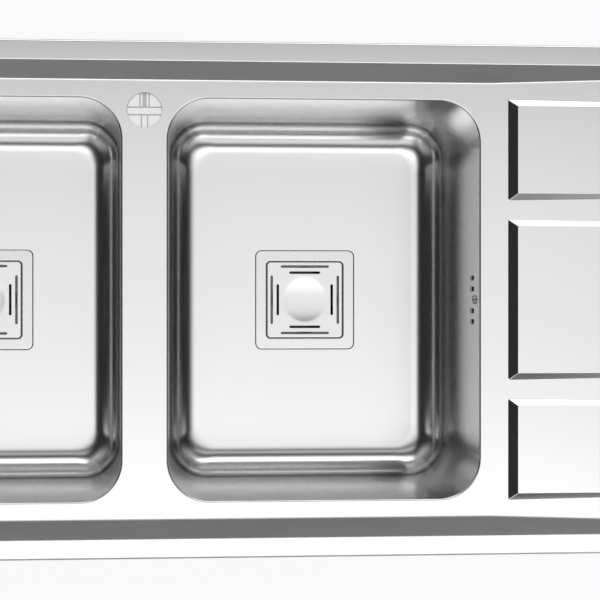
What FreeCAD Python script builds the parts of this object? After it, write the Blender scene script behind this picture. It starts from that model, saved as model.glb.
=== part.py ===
import FreeCAD, Part
import math
import os

# Inset kitchen sink with two equal bowls and a drainer on the right, pressed and welded from stainless sheet.
# Lengths are in millimetres. X runs along the sink towards the drainer, Y to the back, Z up.
# The origin is the middle of the sink, on the worktop's upper face.

# Whole sink
overall_length = 1160.0
overall_depth = 520.0
sheet = 1.0  # thickness of the steel sheet

# Rim and the border that falls from it to the deck
rim_top = 3.0  # rim's upper face above the worktop
rim_flat = 20.0
rim_corner = 12.0
rim_edge_radius = 2.3
rim_fold_radius = 4.0
border_run = 19.0
border_drop = 7.0
border_corner = 30.0
border_fold_radius = 6.0

# Bowls
bowl_width = 318.0
bowl_ledge = 18.0  # border's foot to the bowls, at the back and at the front
bowl_corner = 42.0
bowl_depth = 213.0  # deck to floor
bowl_draft = 6.0  # how far each wall leans in over the bowl's depth
bowl_floor_radius = 24.0
bowl_side_ledge = 19.5  # left bowl to the border's foot
bowl_gap = 47.0

# Drainer, rising away from the bowls, with three raised pads
drainer_setback = 11.0  # right bowl to the line where the drainer starts
drainer_rise = 4.5
pad_setback = 18.0  # start of the drainer to the pads
pad_height = 5.5  # above the deck
pad_side_run = 7.4
pad_near_run = 9.7
pad_far_run = 2.0
pad_corner = 1.0
pad_foot_corner = 1.5
pad_border_gap = 16.0
pad_channel = 18.8
pad_far_gap = 22.0
middle_pad_width = 164.8

# Seal under the rim
seal_inset = 3.5
seal_width = 7.0

# Worktop that the sink is made for
worktop_thickness = 28.0
cutout_inset = 10.0  # sink's edge to the cut-out's edge

# Tap hole, the plate under it and the plug that closes it
tap_hole_radius = 17.5
tap_hole_setback = 69.4  # back edge of the sink to the hole's centre
tap_shank_radius = 17.0  # clear way through the plate
plug_clearance = 0.1
plug_pocket_clearance = 0.3
plug_below_sheet = 0.1
plug_thickness = 5.0
plug_groove_width = 0.9
plug_groove_depth = 0.7
plug_upper_rib = 3.1  # hole's centre to the grooves' centre lines
plug_lower_rib = 4.5
plug_rib_half = 3.1
plug_slot_width = 3.7
plug_slot_rib = 4.6
stiffener_thickness = 12.0
stiffener_width = 66.0
stiffener_front = 30.0  # hole's centre to the plate's front
stiffener_back = 28.0
stiffener_corner = 6.0
stiffener_clearance = 1.5  # plate to the bowls

# Braces welded under the drainer's two channels
brace_width = 14.0
brace_depth = 11.0
brace_wall = 1.5
brace_end_gap = 14.0

# Square waste in each bowl's floor
waste_square = 112.0
waste_corner = 6.5
waste_gap = 0.5  # flange to the edge of its recess
waste_hole_square = 100.0
waste_hole_corner = 8.0
waste_plate = 1.2  # sheet of the waste flange
upper_gasket_thickness = 0.8
upper_gasket_inset = 0.5
lower_gasket_thickness = 2.5
lower_gasket_square = 110.0
lower_gasket_hole = 94.0

# Strainer lid
lid_square = 86.5
lid_corner = 4.0
lid_gap = 0.85  # lid to the flange, all round
lid_height = 3.2
lid_sheet = 1.0
lid_slot_width = 2.9
lid_long_slot = 55.6
lid_short_slot = 35.6
lid_long_slot_place = 38.0  # lid's centre to the slot's centre line
lid_short_slot_place = 31.0
dish_radius = 23.6
dish_depth = 1.2

# Cup of the waste flange
cup_radius = 39.5
cup_depth = 46.8  # bowl floor to the cup's bottom
cup_hole_count = 8
cup_hole_radius = 7.0
cup_hole_circle = 24.0

# Basket in the cup
basket_sheet = 0.8
basket_clearance = 1.5  # basket to the cup
basket_rim_radius = 41.6
basket_depth = 36.0
basket_slot_count = 16
basket_slot_width = 3.0
basket_slot_height = 20.0
basket_slot_low = 8.0  # basket's bottom to the slots
basket_inner_holes = 6
basket_outer_holes = 12
basket_hole_radius = 2.6
basket_inner_circle = 13.0
basket_outer_circle = 27.0
knob_radius = 6.0
knob_height = 11.0
knob_neck_radius = 3.5
knob_neck_height = 4.0
knob_edge_radius = 1.5

# Waste body under the floor
body_flange_square = 110.0
body_flange_corner = 10.0
body_flange_thickness = 4.0
body_radius = 43.0
body_wall = 3.0
body_depth = 60.0  # bowl floor to the body's inner bottom
outlet_radius = 23.9
outlet_bore = 19.5
outlet_length = 22.0
boss_radius = 7.0
boss_top = 52.0  # bowl floor to the top of the boss
boss_length = 20.0
spider_bar = 4.0
spider_height = 12.0

# Screw that draws the flange and the waste body together, and its insert
waste_screw_radius = 3.0
waste_screw_clearance = 0.3
waste_screw_head_radius = 6.5
waste_screw_head_height = 3.6
waste_screw_slot_width = 1.4
waste_screw_slot_depth = 1.6
insert_radius = 4.5
insert_length = 12.0
thread_clearance = 0.05

# Overflow in each bowl's outer wall
overflow_slot_count = 4
overflow_slot_width = 6.0
overflow_slot_height = 20.0
overflow_slot_pitch = 11.4
overflow_below_deck = 34.0
overflow_screw_below_deck = 23.0
overflow_gasket_thickness = 2.0
overflow_width = 62.0
overflow_height = 38.0
overflow_corner = 8.0
overflow_land = 4.0  # width of the gasket's band
housing_depth = 30.0
housing_wall = 2.0
overflow_boss_radius = 5.0
overflow_screw_radius = 2.5
overflow_screw_head_radius = 4.6
overflow_screw_head_height = 2.2
overflow_screw_clearance = 0.25
overflow_screw_length = 16.0

# Overflow pipe and its nuts
pipe_radius = 12.0
pipe_wall = 2.0
pipe_bend_radius = 30.0
pipe_below_floor = 34.0
spigot_length = 20.0
housing_spigot_length = 16.0
pipe_nut_wall = 3.0
pipe_nut_length = 15.0
pipe_nut_clearance = 0.1
pipe_nut_sides = 8

# Sound-deadening pads stuck under each floor
damper_length = 200.0
damper_width = 84.0
damper_thickness = 3.0
damper_corner = 8.0
damper_gap = 14.0  # waste recess to the pad

# Rails welded under the rim, and the swing clips that hang from them
rail_sheet = 1.2
rail_setback = 1.3  # cut-out's edge to the rail
rail_top_width = 7.2
rail_height = 17.2
rail_shelf_width = 13.5
rail_end_gap = 60.0  # sink's edge to the end of a rail
side_rail_end_gap = 80.0
long_rail_clip_share = 0.76  # share of the half length at which the outer clips sit
side_rail_clip_share = 0.46
clip_width = 18.0
clip_sheet = 2.5
clip_reach = 22.0  # screw to the jaw's tip
clip_heel_reach = 11.0
clip_jaw_height = 5.0
clip_heel_clearance = 0.3
clip_corner = 3.0
clip_screw_radius = 3.0
clip_screw_clearance = 0.08
clip_screw_head_radius = 6.0
clip_screw_head_height = 4.5
clip_screw_slot_width = 1.4
clip_screw_slot_depth = 1.8
clip_nut_flats = 10.0
clip_nut_sides = 6
clip_nut_height = 5.0
clip_screw_past_nut = 1.0

# Working values
overrun = 10.0  # how far a cutting tool stands past what it cuts
same_place = 0.01  # closer than this, two heights are one

# Places that follow from the sizes above
half_length = overall_length / 2
half_depth = overall_depth / 2
rim_under = rim_top - sheet
border_inset = rim_flat + border_run
bowl_length = overall_depth - 2 * (border_inset + bowl_ledge)
deck_z = rim_top - border_drop
floor_z = deck_z - bowl_depth
left_bowl_x = -half_length + border_inset + bowl_side_ledge + bowl_width / 2
right_bowl_x = left_bowl_x + bowl_width + bowl_gap
drainer_x = right_bowl_x + bowl_width / 2 + drainer_setback
drainer_end = half_length - border_inset
pads_x = drainer_x + pad_setback
pads_end = drainer_end - pad_far_gap
tap_x = (left_bowl_x + right_bowl_x) / 2
tap_y = half_depth - tap_hole_setback
recess_depth = waste_plate + upper_gasket_thickness
recess_under = floor_z - recess_depth - sheet
lid_seat_z = floor_z - lid_height
cup_floor_z = floor_z - cup_depth
basket_radius = cup_radius - basket_clearance
body_top_z = recess_under - lower_gasket_thickness
body_floor_z = floor_z - body_depth
outlet_end_z = body_floor_z - body_wall - outlet_length
overflow_z = deck_z - overflow_below_deck
overflow_screw_z = deck_z - overflow_screw_below_deck
pipe_z = floor_z - pipe_below_floor
housing_face = bowl_width / 2 + sheet + overflow_gasket_thickness
pipe_reach = housing_face + housing_depth / 2
spigot_end = body_radius + body_wall + spigot_length
rail_shelf_z = rim_under - rail_height
rail_inset = cutout_inset + rail_setback + rail_top_width
clip_screw_inset = rail_inset + rail_shelf_width / 2
jaw_z = -worktop_thickness
clip_under = jaw_z - clip_jaw_height - clip_sheet


def at(x, y, z):
    return FreeCAD.Vector(x, y, z)


def outline(x_low, x_high, y_low, y_high, corner, z):
    """Closed wire of a flat rectangle with round corners."""
    arc_middle = corner * (1 - math.sqrt(0.5))
    corners = (
        (x_high, y_low, -1, 1),
        (x_high, y_high, -1, -1),
        (x_low, y_high, 1, -1),
        (x_low, y_low, 1, 1),
    )
    stops = []
    for x, y, inward_x, inward_y in corners:
        along_x = at(x + inward_x * corner, y, z)
        along_y = at(x, y + inward_y * corner, z)
        middle = at(x + inward_x * arc_middle, y + inward_y * arc_middle, z)
        first, last = (along_x, along_y) if inward_x * inward_y < 0 else (along_y, along_x)
        stops.append((first, middle, last))
    edges = []
    for index, (first, middle, last) in enumerate(stops):
        edges.append(Part.Arc(first, middle, last).toShape())
        edges.append(Part.LineSegment(last, stops[(index + 1) % len(stops)][0]).toShape())
    return Part.Wire(edges)


def block(x_low, x_high, y_low, y_high, z_low, z_high):
    return Part.makeBox(x_high - x_low, y_high - y_low, z_high - z_low, at(x_low, y_low, z_low))


def centred_block(x, y, size_x, size_y, z_low, z_high):
    return block(x - size_x / 2, x + size_x / 2, y - size_y / 2, y + size_y / 2, z_low, z_high)


def slab(x_low, x_high, y_low, y_high, corner, z_low, z_high):
    """Upright slab with round corners."""
    face = Part.Face(outline(x_low, x_high, y_low, y_high, corner, z_low))
    return face.extrude(at(0, 0, z_high - z_low))


def centred_slab(x, y, size_x, size_y, corner, z_low, z_high):
    return slab(x - size_x / 2, x + size_x / 2, y - size_y / 2, y + size_y / 2, corner, z_low, z_high)


def square_slab(x, size, corner, z_low, z_high):
    return centred_slab(x, 0, size, size, corner, z_low, z_high)


def round_bar(x, y, radius, z_low, z_high):
    return Part.makeCylinder(radius, z_high - z_low, at(x, y, z_low))


def bar_along_x(radius, x_low, x_high, y, z):
    return Part.makeCylinder(radius, x_high - x_low, at(x_low, y, z), at(1, 0, 0))


def edges_at_height(shape, z, inset=0):
    """The edges that lie flat at height z, at least inset away from the sink's outer edge."""
    reach_x = half_length - inset + same_place
    reach_y = half_depth - inset + same_place
    found = []
    for edge in shape.Edges:
        ends = edge.Vertexes
        if all(abs(v.Z - z) < same_place and abs(v.X) < reach_x and abs(v.Y) < reach_y for v in ends):
            found.append(edge)
    return found


def turned_polygon(x, y, flats, sides, z_low, z_high):
    """Upright prism of a regular polygon, as wide as flats across its sides."""
    reach = flats / 2 / math.cos(math.pi / sides)
    points = []
    for index in range(sides + 1):
        angle = 2 * math.pi * index / sides + math.pi / sides
        points.append(at(x + reach * math.cos(angle), y + reach * math.sin(angle), z_low))
    return Part.Face(Part.makePolygon(points)).extrude(at(0, 0, z_high - z_low))


def border_well(drop):
    """Hollow inside the rim: sloping border walls down to the flat deck, all lowered by drop."""
    rise = overrun
    widen = border_run * rise / border_drop
    wires = []
    for inset, z in ((border_inset, deck_z - drop), (rim_flat - widen, rim_top - drop + rise)):
        corner = border_corner + rim_flat - inset
        wires.append(outline(inset - half_length, half_length - inset,
                             inset - half_depth, half_depth - inset, corner, z))
    well = Part.makeLoft(wires, True, True)
    well = well.makeFillet(border_fold_radius, edges_at_height(well, deck_z - drop))
    return well.cut(drainer_wedge(drop))


def drainer_wedge(drop):
    """Wedge under the drainer, which rises from the deck away from the bowls."""
    past_end = half_length + overrun
    slope = drainer_rise / (drainer_end - drainer_x)
    low = deck_z - drop
    corners = [at(drainer_x, -half_depth, low),
               at(past_end, -half_depth, low),
               at(past_end, -half_depth, low + slope * (past_end - drainer_x)),
               at(drainer_x, -half_depth, low)]
    return Part.Face(Part.makePolygon(corners)).extrude(at(0, overall_depth, 0))


def pad_mould(y_low, y_high, drop):
    """One raised pad: a flat top with sloping sides, run on below the deck."""
    root = border_drop
    wires = []
    for depth, corner in ((root, pad_foot_corner), (-pad_height, pad_corner)):
        share = -depth / pad_height
        near = pads_x + pad_near_run * share
        far = pads_end - pad_far_run * share
        side = pad_side_run * share
        wires.append(outline(near, far, y_low + side, y_high - side, corner, deck_z - depth - drop))
    return Part.makeLoft(wires, True, True)


def pad_spans():
    """Front and back edge of each pad's foot."""
    middle = middle_pad_width / 2
    inner = middle + pad_channel
    outer = half_depth - border_inset - pad_border_gap
    return [(-outer, -inner), (-middle, middle), (inner, outer)]


def deck_mould(drop, edge_inset):
    """Solid under the deck's upper face, lowered by drop and drawn in at the outer edge."""
    top = rim_top - drop
    reach_x = half_length - edge_inset
    reach_y = half_depth - edge_inset
    mould = slab(-reach_x, reach_x, -reach_y, reach_y, rim_corner - edge_inset,
                 deck_z - border_drop - overrun, top)
    mould = mould.makeFillet(rim_edge_radius - edge_inset, edges_at_height(mould, top))
    mould = mould.cut(border_well(drop))
    mould = mould.makeFillet(rim_fold_radius, edges_at_height(mould, top, rim_flat))
    for y_low, y_high in pad_spans():
        mould = mould.fuse(pad_mould(y_low, y_high, drop))
    return mould


def bowl_frustum(bowl_x, offset, z_low, z_high):
    """Space inside a bowl's leaning walls, with the walls moved outwards by offset."""
    wires = []
    for z in (z_low, z_high):
        inset = bowl_draft * (deck_z - z) / bowl_depth - offset
        half_x = bowl_width / 2 - inset
        half_y = bowl_length / 2 - inset
        wires.append(outline(bowl_x - half_x, bowl_x + half_x, -half_y, half_y, bowl_corner - inset, z))
    return Part.makeLoft(wires, True, True)


def bowl_mould(bowl_x, offset, z_high):
    """Whole bowl shape with its rounded floor edge, grown by offset."""
    z_low = floor_z - offset
    mould = bowl_frustum(bowl_x, offset, z_low, z_high)
    return mould.makeFillet(bowl_floor_radius + offset, edges_at_height(mould, z_low))


def sink_deck():
    """Rim, border, deck and drainer in one sheet, open at both bowls and at the tap hole."""
    deck = deck_mould(0, 0).cut(deck_mould(sheet, sheet))
    below = slab(-half_length - overrun, half_length + overrun, -half_depth - overrun, half_depth + overrun,
                 rim_corner, deck_z - border_drop - 2 * overrun, 0)
    keep = slab(rim_flat - half_length, half_length - rim_flat, rim_flat - half_depth, half_depth - rim_flat,
                border_corner, deck_z - border_drop - 2 * overrun, 0)
    deck = deck.cut(below.cut(keep))
    for bowl_x in (left_bowl_x, right_bowl_x):
        deck = deck.cut(bowl_frustum(bowl_x, sheet, deck_z - overrun, deck_z + overrun))
    return deck.cut(round_bar(tap_x, tap_y, tap_hole_radius, deck_z - overrun, deck_z + overrun))


def bowl(bowl_x, side):
    """Drafted bowl with a square recess for the waste, and the overflow's slots in its outer wall."""
    shell = bowl_mould(bowl_x, sheet, deck_z).cut(bowl_mould(bowl_x, 0, deck_z + overrun))
    recess_square = waste_square + 2 * waste_gap
    recess_corner = waste_corner + waste_gap
    shell = shell.fuse(square_slab(bowl_x, recess_square + 2 * sheet, recess_corner + sheet,
                                   recess_under, floor_z - sheet / 2))
    shell = shell.cut(square_slab(bowl_x, recess_square, recess_corner, floor_z - recess_depth, floor_z + sheet))
    shell = shell.cut(square_slab(bowl_x, waste_hole_square, waste_hole_corner,
                                  recess_under - overrun, floor_z + sheet))
    for tool in overflow_openings(bowl_x, side):
        shell = shell.cut(tool)
    return shell


def overflow_openings(bowl_x, side):
    """Upright slots with round ends, and the screw's hole between them."""
    wall = bowl_x + side * bowl_width / 2
    tools = []
    for index in range(overflow_slot_count):
        step = index - (overflow_slot_count - 1) / 2
        step += math.copysign(0.5, step)
        y = step * overflow_slot_pitch
        straight = (overflow_slot_height - overflow_slot_width) / 2
        slot = block(wall - overrun, wall + overrun, y - overflow_slot_width / 2, y + overflow_slot_width / 2,
                     overflow_z - straight, overflow_z + straight)
        for end in (-1, 1):
            slot = slot.fuse(bar_along_x(overflow_slot_width / 2, wall - overrun, wall + overrun,
                                         y, overflow_z + end * straight))
        tools.append(slot)
    tools.append(bar_along_x(overflow_screw_radius + overflow_screw_clearance,
                             wall - overrun, wall + overrun, 0, overflow_screw_z))
    return tools


def rim_seal():
    """Foam strip between the rim and the worktop."""
    rings = []
    for inset in (seal_inset, seal_inset + seal_width):
        rings.append(slab(inset - half_length, half_length - inset, inset - half_depth, half_depth - inset,
                          max(rim_corner - inset, sheet), 0, rim_under))
    return rings[0].cut(rings[1])


def tap_stiffener():
    """Plastic plate that backs the deck round the tap hole, with a seat for the plug."""
    top = deck_z - sheet
    plate = slab(tap_x - stiffener_width / 2, tap_x + stiffener_width / 2,
                 tap_y - stiffener_front, tap_y + stiffener_back,
                 stiffener_corner, top - stiffener_thickness, top)
    for bowl_x in (left_bowl_x, right_bowl_x):
        plate = plate.cut(bowl_frustum(bowl_x, sheet + stiffener_clearance,
                                       top - stiffener_thickness - overrun, top + overrun))
    pocket_depth = plug_below_sheet + plug_thickness
    plate = plate.cut(round_bar(tap_x, tap_y, tap_hole_radius + plug_pocket_clearance,
                                top - pocket_depth, top + overrun))
    return plate.cut(round_bar(tap_x, tap_y, tap_shank_radius, top - stiffener_thickness - overrun, top))


def tap_hole_plug():
    """Pale disc with moulded ribs that fills the tap hole until a tap is fitted."""
    top = deck_z - sheet - plug_below_sheet
    radius = tap_hole_radius - plug_clearance
    plug = round_bar(tap_x, tap_y, radius, top - plug_thickness, top)
    groove_low = top - plug_groove_depth
    groove_high = top + plug_groove_depth
    half_groove = plug_groove_width / 2
    for y in (tap_y + plug_upper_rib, tap_y - plug_lower_rib):
        plug = plug.cut(block(tap_x - tap_hole_radius, tap_x + tap_hole_radius,
                              y - half_groove, y + half_groove, groove_low, groove_high))
    for turn in (-1, 1):
        x = tap_x + turn * plug_rib_half
        plug = plug.cut(block(x - half_groove, x + half_groove, tap_y - tap_hole_radius,
                              tap_y - plug_lower_rib, groove_low, groove_high))
        x = tap_x + turn * plug_slot_rib
        plug = plug.cut(block(x - half_groove, x + half_groove, tap_y + plug_upper_rib,
                              tap_y + tap_hole_radius, groove_low, groove_high))
    slot_low = top - plug_thickness / 2
    return plug.cut(block(tap_x - plug_slot_width / 2, tap_x + plug_slot_width / 2, tap_y + plug_upper_rib,
                          tap_y + tap_hole_radius, slot_low, groove_high))


def drainer_braces():
    """Hat-section strips welded under the drainer's two channels."""
    braces = []
    under_face = deck_mould(sheet, sheet)
    for turn in (-1, 1):
        y = turn * (middle_pad_width + pad_channel) / 2
        low = deck_z - brace_depth
        outer = block(pads_x + brace_end_gap, pads_end - brace_end_gap, y - brace_width / 2, y + brace_width / 2,
                      low, rim_top)
        hollow = block(pads_x, pads_end, y - brace_width / 2 + brace_wall, y + brace_width / 2 - brace_wall,
                       low + brace_wall, rim_top)
        braces.append(outer.cut(hollow).common(under_face))
    return Part.makeCompound(braces)


def waste_flange(bowl_x):
    """Pressed steel flange: flush square plate, seat for the lid and a round cup with drain holes."""
    opening = lid_square + 2 * lid_gap
    opening_corner = lid_corner + lid_gap
    seat_under = lid_seat_z - waste_plate
    flange = square_slab(bowl_x, waste_square, waste_corner, floor_z - waste_plate, floor_z)
    flange = flange.fuse(square_slab(bowl_x, opening + 2 * waste_plate, opening_corner + waste_plate,
                                     seat_under, floor_z))
    flange = flange.fuse(round_bar(bowl_x, 0, cup_radius + waste_plate, cup_floor_z - waste_plate, lid_seat_z))
    flange = flange.cut(square_slab(bowl_x, opening, opening_corner, lid_seat_z, floor_z + overrun))
    flange = flange.cut(round_bar(bowl_x, 0, cup_radius, cup_floor_z, floor_z))
    for index in range(cup_hole_count):
        angle = 2 * math.pi * index / cup_hole_count
        flange = flange.cut(round_bar(bowl_x + cup_hole_circle * math.cos(angle),
                                      cup_hole_circle * math.sin(angle), cup_hole_radius,
                                      cup_floor_z - overrun, cup_floor_z + overrun))
    return flange.cut(round_bar(bowl_x, 0, waste_screw_radius + waste_screw_clearance,
                                cup_floor_z - overrun, cup_floor_z + overrun))


def upper_gasket(bowl_x):
    """Thin gasket between the waste flange and the recess in the floor."""
    size = waste_square - 2 * upper_gasket_inset
    low = floor_z - recess_depth
    high = floor_z - waste_plate
    ring = square_slab(bowl_x, size, waste_corner, low, high)
    return ring.cut(square_slab(bowl_x, waste_hole_square, waste_hole_corner, low - overrun, high + overrun))


def lower_gasket(bowl_x):
    """Rubber gasket between the bowl and the waste body."""
    ring = square_slab(bowl_x, lower_gasket_square, waste_hole_corner, body_top_z, recess_under)
    return ring.cut(square_slab(bowl_x, lower_gasket_hole, waste_hole_corner,
                                body_top_z - overrun, recess_under + overrun))


def waste_body(bowl_x, side):
    """Moulded body that hangs under the bowl: square flange, round chamber, side spigot and outlet."""
    body = square_slab(bowl_x, body_flange_square, body_flange_corner,
                       body_top_z - body_flange_thickness, body_top_z)
    body = body.fuse(round_bar(bowl_x, 0, body_radius + body_wall, body_floor_z - body_wall, body_top_z))
    body = body.fuse(round_bar(bowl_x, 0, outlet_radius, outlet_end_z, body_floor_z))
    near, far = sorted((bowl_x, bowl_x + side * spigot_end))
    body = body.fuse(bar_along_x(pipe_radius, near, far, 0, pipe_z))
    body = body.cut(round_bar(bowl_x, 0, body_radius, body_floor_z, body_top_z + overrun))
    body = body.cut(round_bar(bowl_x, 0, outlet_bore, outlet_end_z - overrun, body_floor_z + overrun))
    near, far = sorted((bowl_x, bowl_x + side * (spigot_end + overrun)))
    body = body.cut(bar_along_x(pipe_radius - pipe_wall, near, far, 0, pipe_z))
    boss_high = floor_z - boss_top
    boss_low = boss_high - boss_length
    spider = round_bar(bowl_x, 0, boss_radius, boss_low, boss_high)
    for size_x, size_y in ((2 * outlet_bore, spider_bar), (spider_bar, 2 * outlet_bore)):
        bars = centred_block(bowl_x, 0, size_x, size_y, boss_low, boss_low + spider_height)
        spider = spider.fuse(bars.common(round_bar(bowl_x, 0, (outlet_bore + outlet_radius) / 2,
                                                   boss_low, boss_high)))
    spider = spider.cut(round_bar(bowl_x, 0, insert_radius, boss_high - insert_length, boss_high))
    return body.fuse(spider)


def waste_screw(bowl_x):
    """Slotted screw from the cup's floor into the insert in the waste body."""
    tip = floor_z - boss_top - insert_length
    head_top = cup_floor_z + waste_screw_head_height
    screw = round_bar(bowl_x, 0, waste_screw_radius, tip, cup_floor_z)
    screw = screw.fuse(round_bar(bowl_x, 0, waste_screw_head_radius, cup_floor_z, head_top))
    return screw.cut(centred_block(bowl_x, 0, 2 * waste_screw_head_radius, waste_screw_slot_width,
                                   head_top - waste_screw_slot_depth, head_top))


def waste_insert(bowl_x):
    """Brass insert in the waste body's boss."""
    high = floor_z - boss_top
    insert = round_bar(bowl_x, 0, insert_radius, high - insert_length, high)
    return insert.cut(round_bar(bowl_x, 0, waste_screw_radius + thread_clearance,
                                high - insert_length - overrun, high + overrun))


def basket(bowl_x):
    """Lift-out basket: round cup with a rim, slots in its wall and holes in its floor."""
    low = lid_seat_z - basket_depth
    shell = round_bar(bowl_x, 0, basket_radius, low, lid_seat_z)
    shell = shell.fuse(round_bar(bowl_x, 0, basket_rim_radius, lid_seat_z, lid_seat_z + basket_sheet))
    shell = shell.cut(round_bar(bowl_x, 0, basket_radius - basket_sheet, low + basket_sheet, floor_z))
    slot_low = low + basket_slot_low
    for index in range(basket_slot_count // 2):
        slot = block(-2 * basket_radius, 2 * basket_radius, -basket_slot_width / 2, basket_slot_width / 2,
                     slot_low, slot_low + basket_slot_height)
        slot.rotate(at(0, 0, 0), at(0, 0, 1), 360 * (index + 0.5) / basket_slot_count)
        slot.translate(at(bowl_x, 0, 0))
        shell = shell.cut(slot)
    for count, circle in ((basket_inner_holes, basket_inner_circle), (basket_outer_holes, basket_outer_circle)):
        for index in range(count):
            angle = 2 * math.pi * index / count
            shell = shell.cut(round_bar(bowl_x + circle * math.cos(angle), circle * math.sin(angle),
                                        basket_hole_radius, low - overrun, low + overrun))
    return shell


def basket_knob(bowl_x):
    """Small knob on the basket's floor, for lifting it."""
    low = lid_seat_z - basket_depth + basket_sheet
    neck = round_bar(bowl_x, 0, knob_neck_radius, low, low + knob_neck_height)
    head = round_bar(bowl_x, 0, knob_radius, low + knob_neck_height, low + knob_height)
    head = head.makeFillet(knob_edge_radius, edges_at_height(head, low + knob_height))
    return neck.fuse(head)


def slot_tool(x, y, length, width, along_x, z_low, z_high):
    size_x, size_y = (length, width) if along_x else (width, length)
    half = (length - width) / 2
    tool = centred_block(x, y, size_x - width * along_x, size_y - width * (not along_x), z_low, z_high)
    for end in (-1, 1):
        tool = tool.fuse(round_bar(x + end * half * along_x, y + end * half * (not along_x),
                                   width / 2, z_low, z_high))
    return tool


def strainer_lid(bowl_x):
    """Square steel lid with folded edges, slots on all four sides and a shallow dish in its middle."""
    lid = square_slab(bowl_x, lid_square, lid_corner, lid_seat_z, floor_z)
    inner_square = lid_square - 2 * lid_sheet
    lid = lid.cut(square_slab(bowl_x, inner_square, lid_corner - lid_sheet, lid_seat_z - overrun,
                              floor_z - lid_sheet))
    sphere_radius = (dish_radius ** 2 + dish_depth ** 2) / (2 * dish_depth)
    centre = at(bowl_x, 0, floor_z - dish_depth + sphere_radius)
    below = centred_block(bowl_x, 0, inner_square, inner_square, lid_seat_z, floor_z - lid_sheet / 2)
    lid = lid.fuse(Part.makeSphere(sphere_radius + lid_sheet, centre).common(below))
    lid = lid.cut(Part.makeSphere(sphere_radius, centre))
    for turn in (-1, 1):
        for place, length in ((lid_long_slot_place, lid_long_slot), (lid_short_slot_place, lid_short_slot)):
            for along_x in (True, False):
                x = bowl_x + turn * place * (not along_x)
                y = turn * place * along_x
                lid = lid.cut(slot_tool(x, y, length, lid_slot_width, along_x,
                                        floor_z - 2 * lid_sheet, floor_z + lid_sheet))
    return lid


def overflow_plate(bowl_x, side, offset, depth, margin):
    """Upright slab with round corners against the bowl's outer wall, its near face offset from the wall."""
    half_y = overflow_width / 2 - margin
    half_z = overflow_height / 2 - margin
    corner = max(overflow_corner - margin, sheet)
    plate = slab(-half_z, half_z, -half_y, half_y, corner, 0, depth)
    plate.rotate(at(0, 0, 0), at(0, 1, 0), 90)
    if side < 0:
        plate.rotate(at(0, 0, 0), at(0, 0, 1), 180)
    plate.translate(at(bowl_x + side * (bowl_width / 2 + offset), 0, overflow_z))
    return plate


def overflow_gasket(bowl_x, side):
    """Rubber ring between the bowl's wall and the overflow housing."""
    start = -bowl_draft
    depth = sheet + overflow_gasket_thickness - start
    ring = overflow_plate(bowl_x, side, start, depth, 0)
    ring = ring.cut(overflow_plate(bowl_x, side, start - overrun, depth + 2 * overrun, overflow_land))
    ring = ring.cut(bowl_frustum(bowl_x, sheet, overflow_z - overflow_height, deck_z))
    return ring.common(bowl_frustum(bowl_x, sheet + overflow_gasket_thickness,
                                    overflow_z - overflow_height, deck_z))


def overflow_housing(bowl_x, side):
    """Moulded box behind the overflow slots, with a boss for the screw and a spigot underneath."""
    start = -bowl_draft
    depth = sheet + overflow_gasket_thickness + housing_depth - start
    box = overflow_plate(bowl_x, side, start, depth, 0)
    pipe_x = bowl_x + side * pipe_reach
    box_low = overflow_z - overflow_height / 2
    spigot_low = box_low - housing_spigot_length
    box = box.fuse(round_bar(pipe_x, 0, pipe_radius, spigot_low, overflow_z))
    box = box.cut(overflow_plate(bowl_x, side, start, depth - housing_wall, housing_wall))
    box = box.cut(round_bar(pipe_x, 0, pipe_radius - pipe_wall, spigot_low - overrun, overflow_z))
    far = bowl_x + side * (housing_face + housing_depth - housing_wall / 2)
    near = bowl_x + side * (bowl_width / 2 - bowl_draft)
    low, high = sorted((near, far))
    box = box.fuse(bar_along_x(overflow_boss_radius, low, high, 0, overflow_screw_z))
    screw_end = bowl_x + side * (bowl_width / 2 + overflow_screw_length)
    low, high = sorted((near - side * overrun, screw_end))
    box = box.cut(bar_along_x(overflow_screw_radius + thread_clearance, low, high, 0, overflow_screw_z))
    return box.cut(bowl_frustum(bowl_x, sheet + overflow_gasket_thickness,
                                spigot_low - overrun, deck_z))


def overflow_screw(bowl_x, side):
    """Screw from inside the bowl, through the wall, into the overflow housing."""
    wall = bowl_x + side * bowl_width / 2
    inner_face = bowl_x + side * (bowl_width / 2 - bowl_draft * overflow_screw_below_deck / bowl_depth)
    low, high = sorted((inner_face - side * overflow_screw_head_height, wall + side * overrun))
    inside = bowl_frustum(bowl_x, 0, overflow_z - overflow_height, deck_z)
    head = bar_along_x(overflow_screw_head_radius, low, high, 0, overflow_screw_z).common(inside)
    low, high = sorted((inner_face - side * overflow_screw_head_height / 2, wall + side * overflow_screw_length))
    return head.fuse(bar_along_x(overflow_screw_radius, low, high, 0, overflow_screw_z))


def pipe_path(bowl_x, side):
    """Centre line of the overflow pipe: down behind the bowl, round a bend and in to the waste body."""
    x = bowl_x + side * pipe_reach
    top = overflow_z - overflow_height / 2 - housing_spigot_length
    bend_top = pipe_z + pipe_bend_radius
    bend_x = x - side * pipe_bend_radius
    middle = pipe_bend_radius * math.sqrt(0.5)
    return Part.Wire([
        Part.LineSegment(at(x, 0, top), at(x, 0, bend_top)).toShape(),
        Part.Arc(at(x, 0, bend_top), at(bend_x + side * middle, 0, bend_top - middle),
                 at(bend_x, 0, pipe_z)).toShape(),
        Part.LineSegment(at(bend_x, 0, pipe_z), at(bowl_x + side * spigot_end, 0, pipe_z)).toShape(),
    ])


def overflow_pipe(bowl_x, side):
    """Rigid overflow pipe with one bend."""
    path = pipe_path(bowl_x, side)
    start = path.Edges[0].Vertexes[0].Point
    solids = []
    for radius in (pipe_radius, pipe_radius - pipe_wall):
        circle = Part.Wire([Part.makeCircle(radius, start, at(0, 0, 1))])
        solids.append(path.makePipeShell([circle], True, False))
    return solids[0].cut(solids[1])


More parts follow.
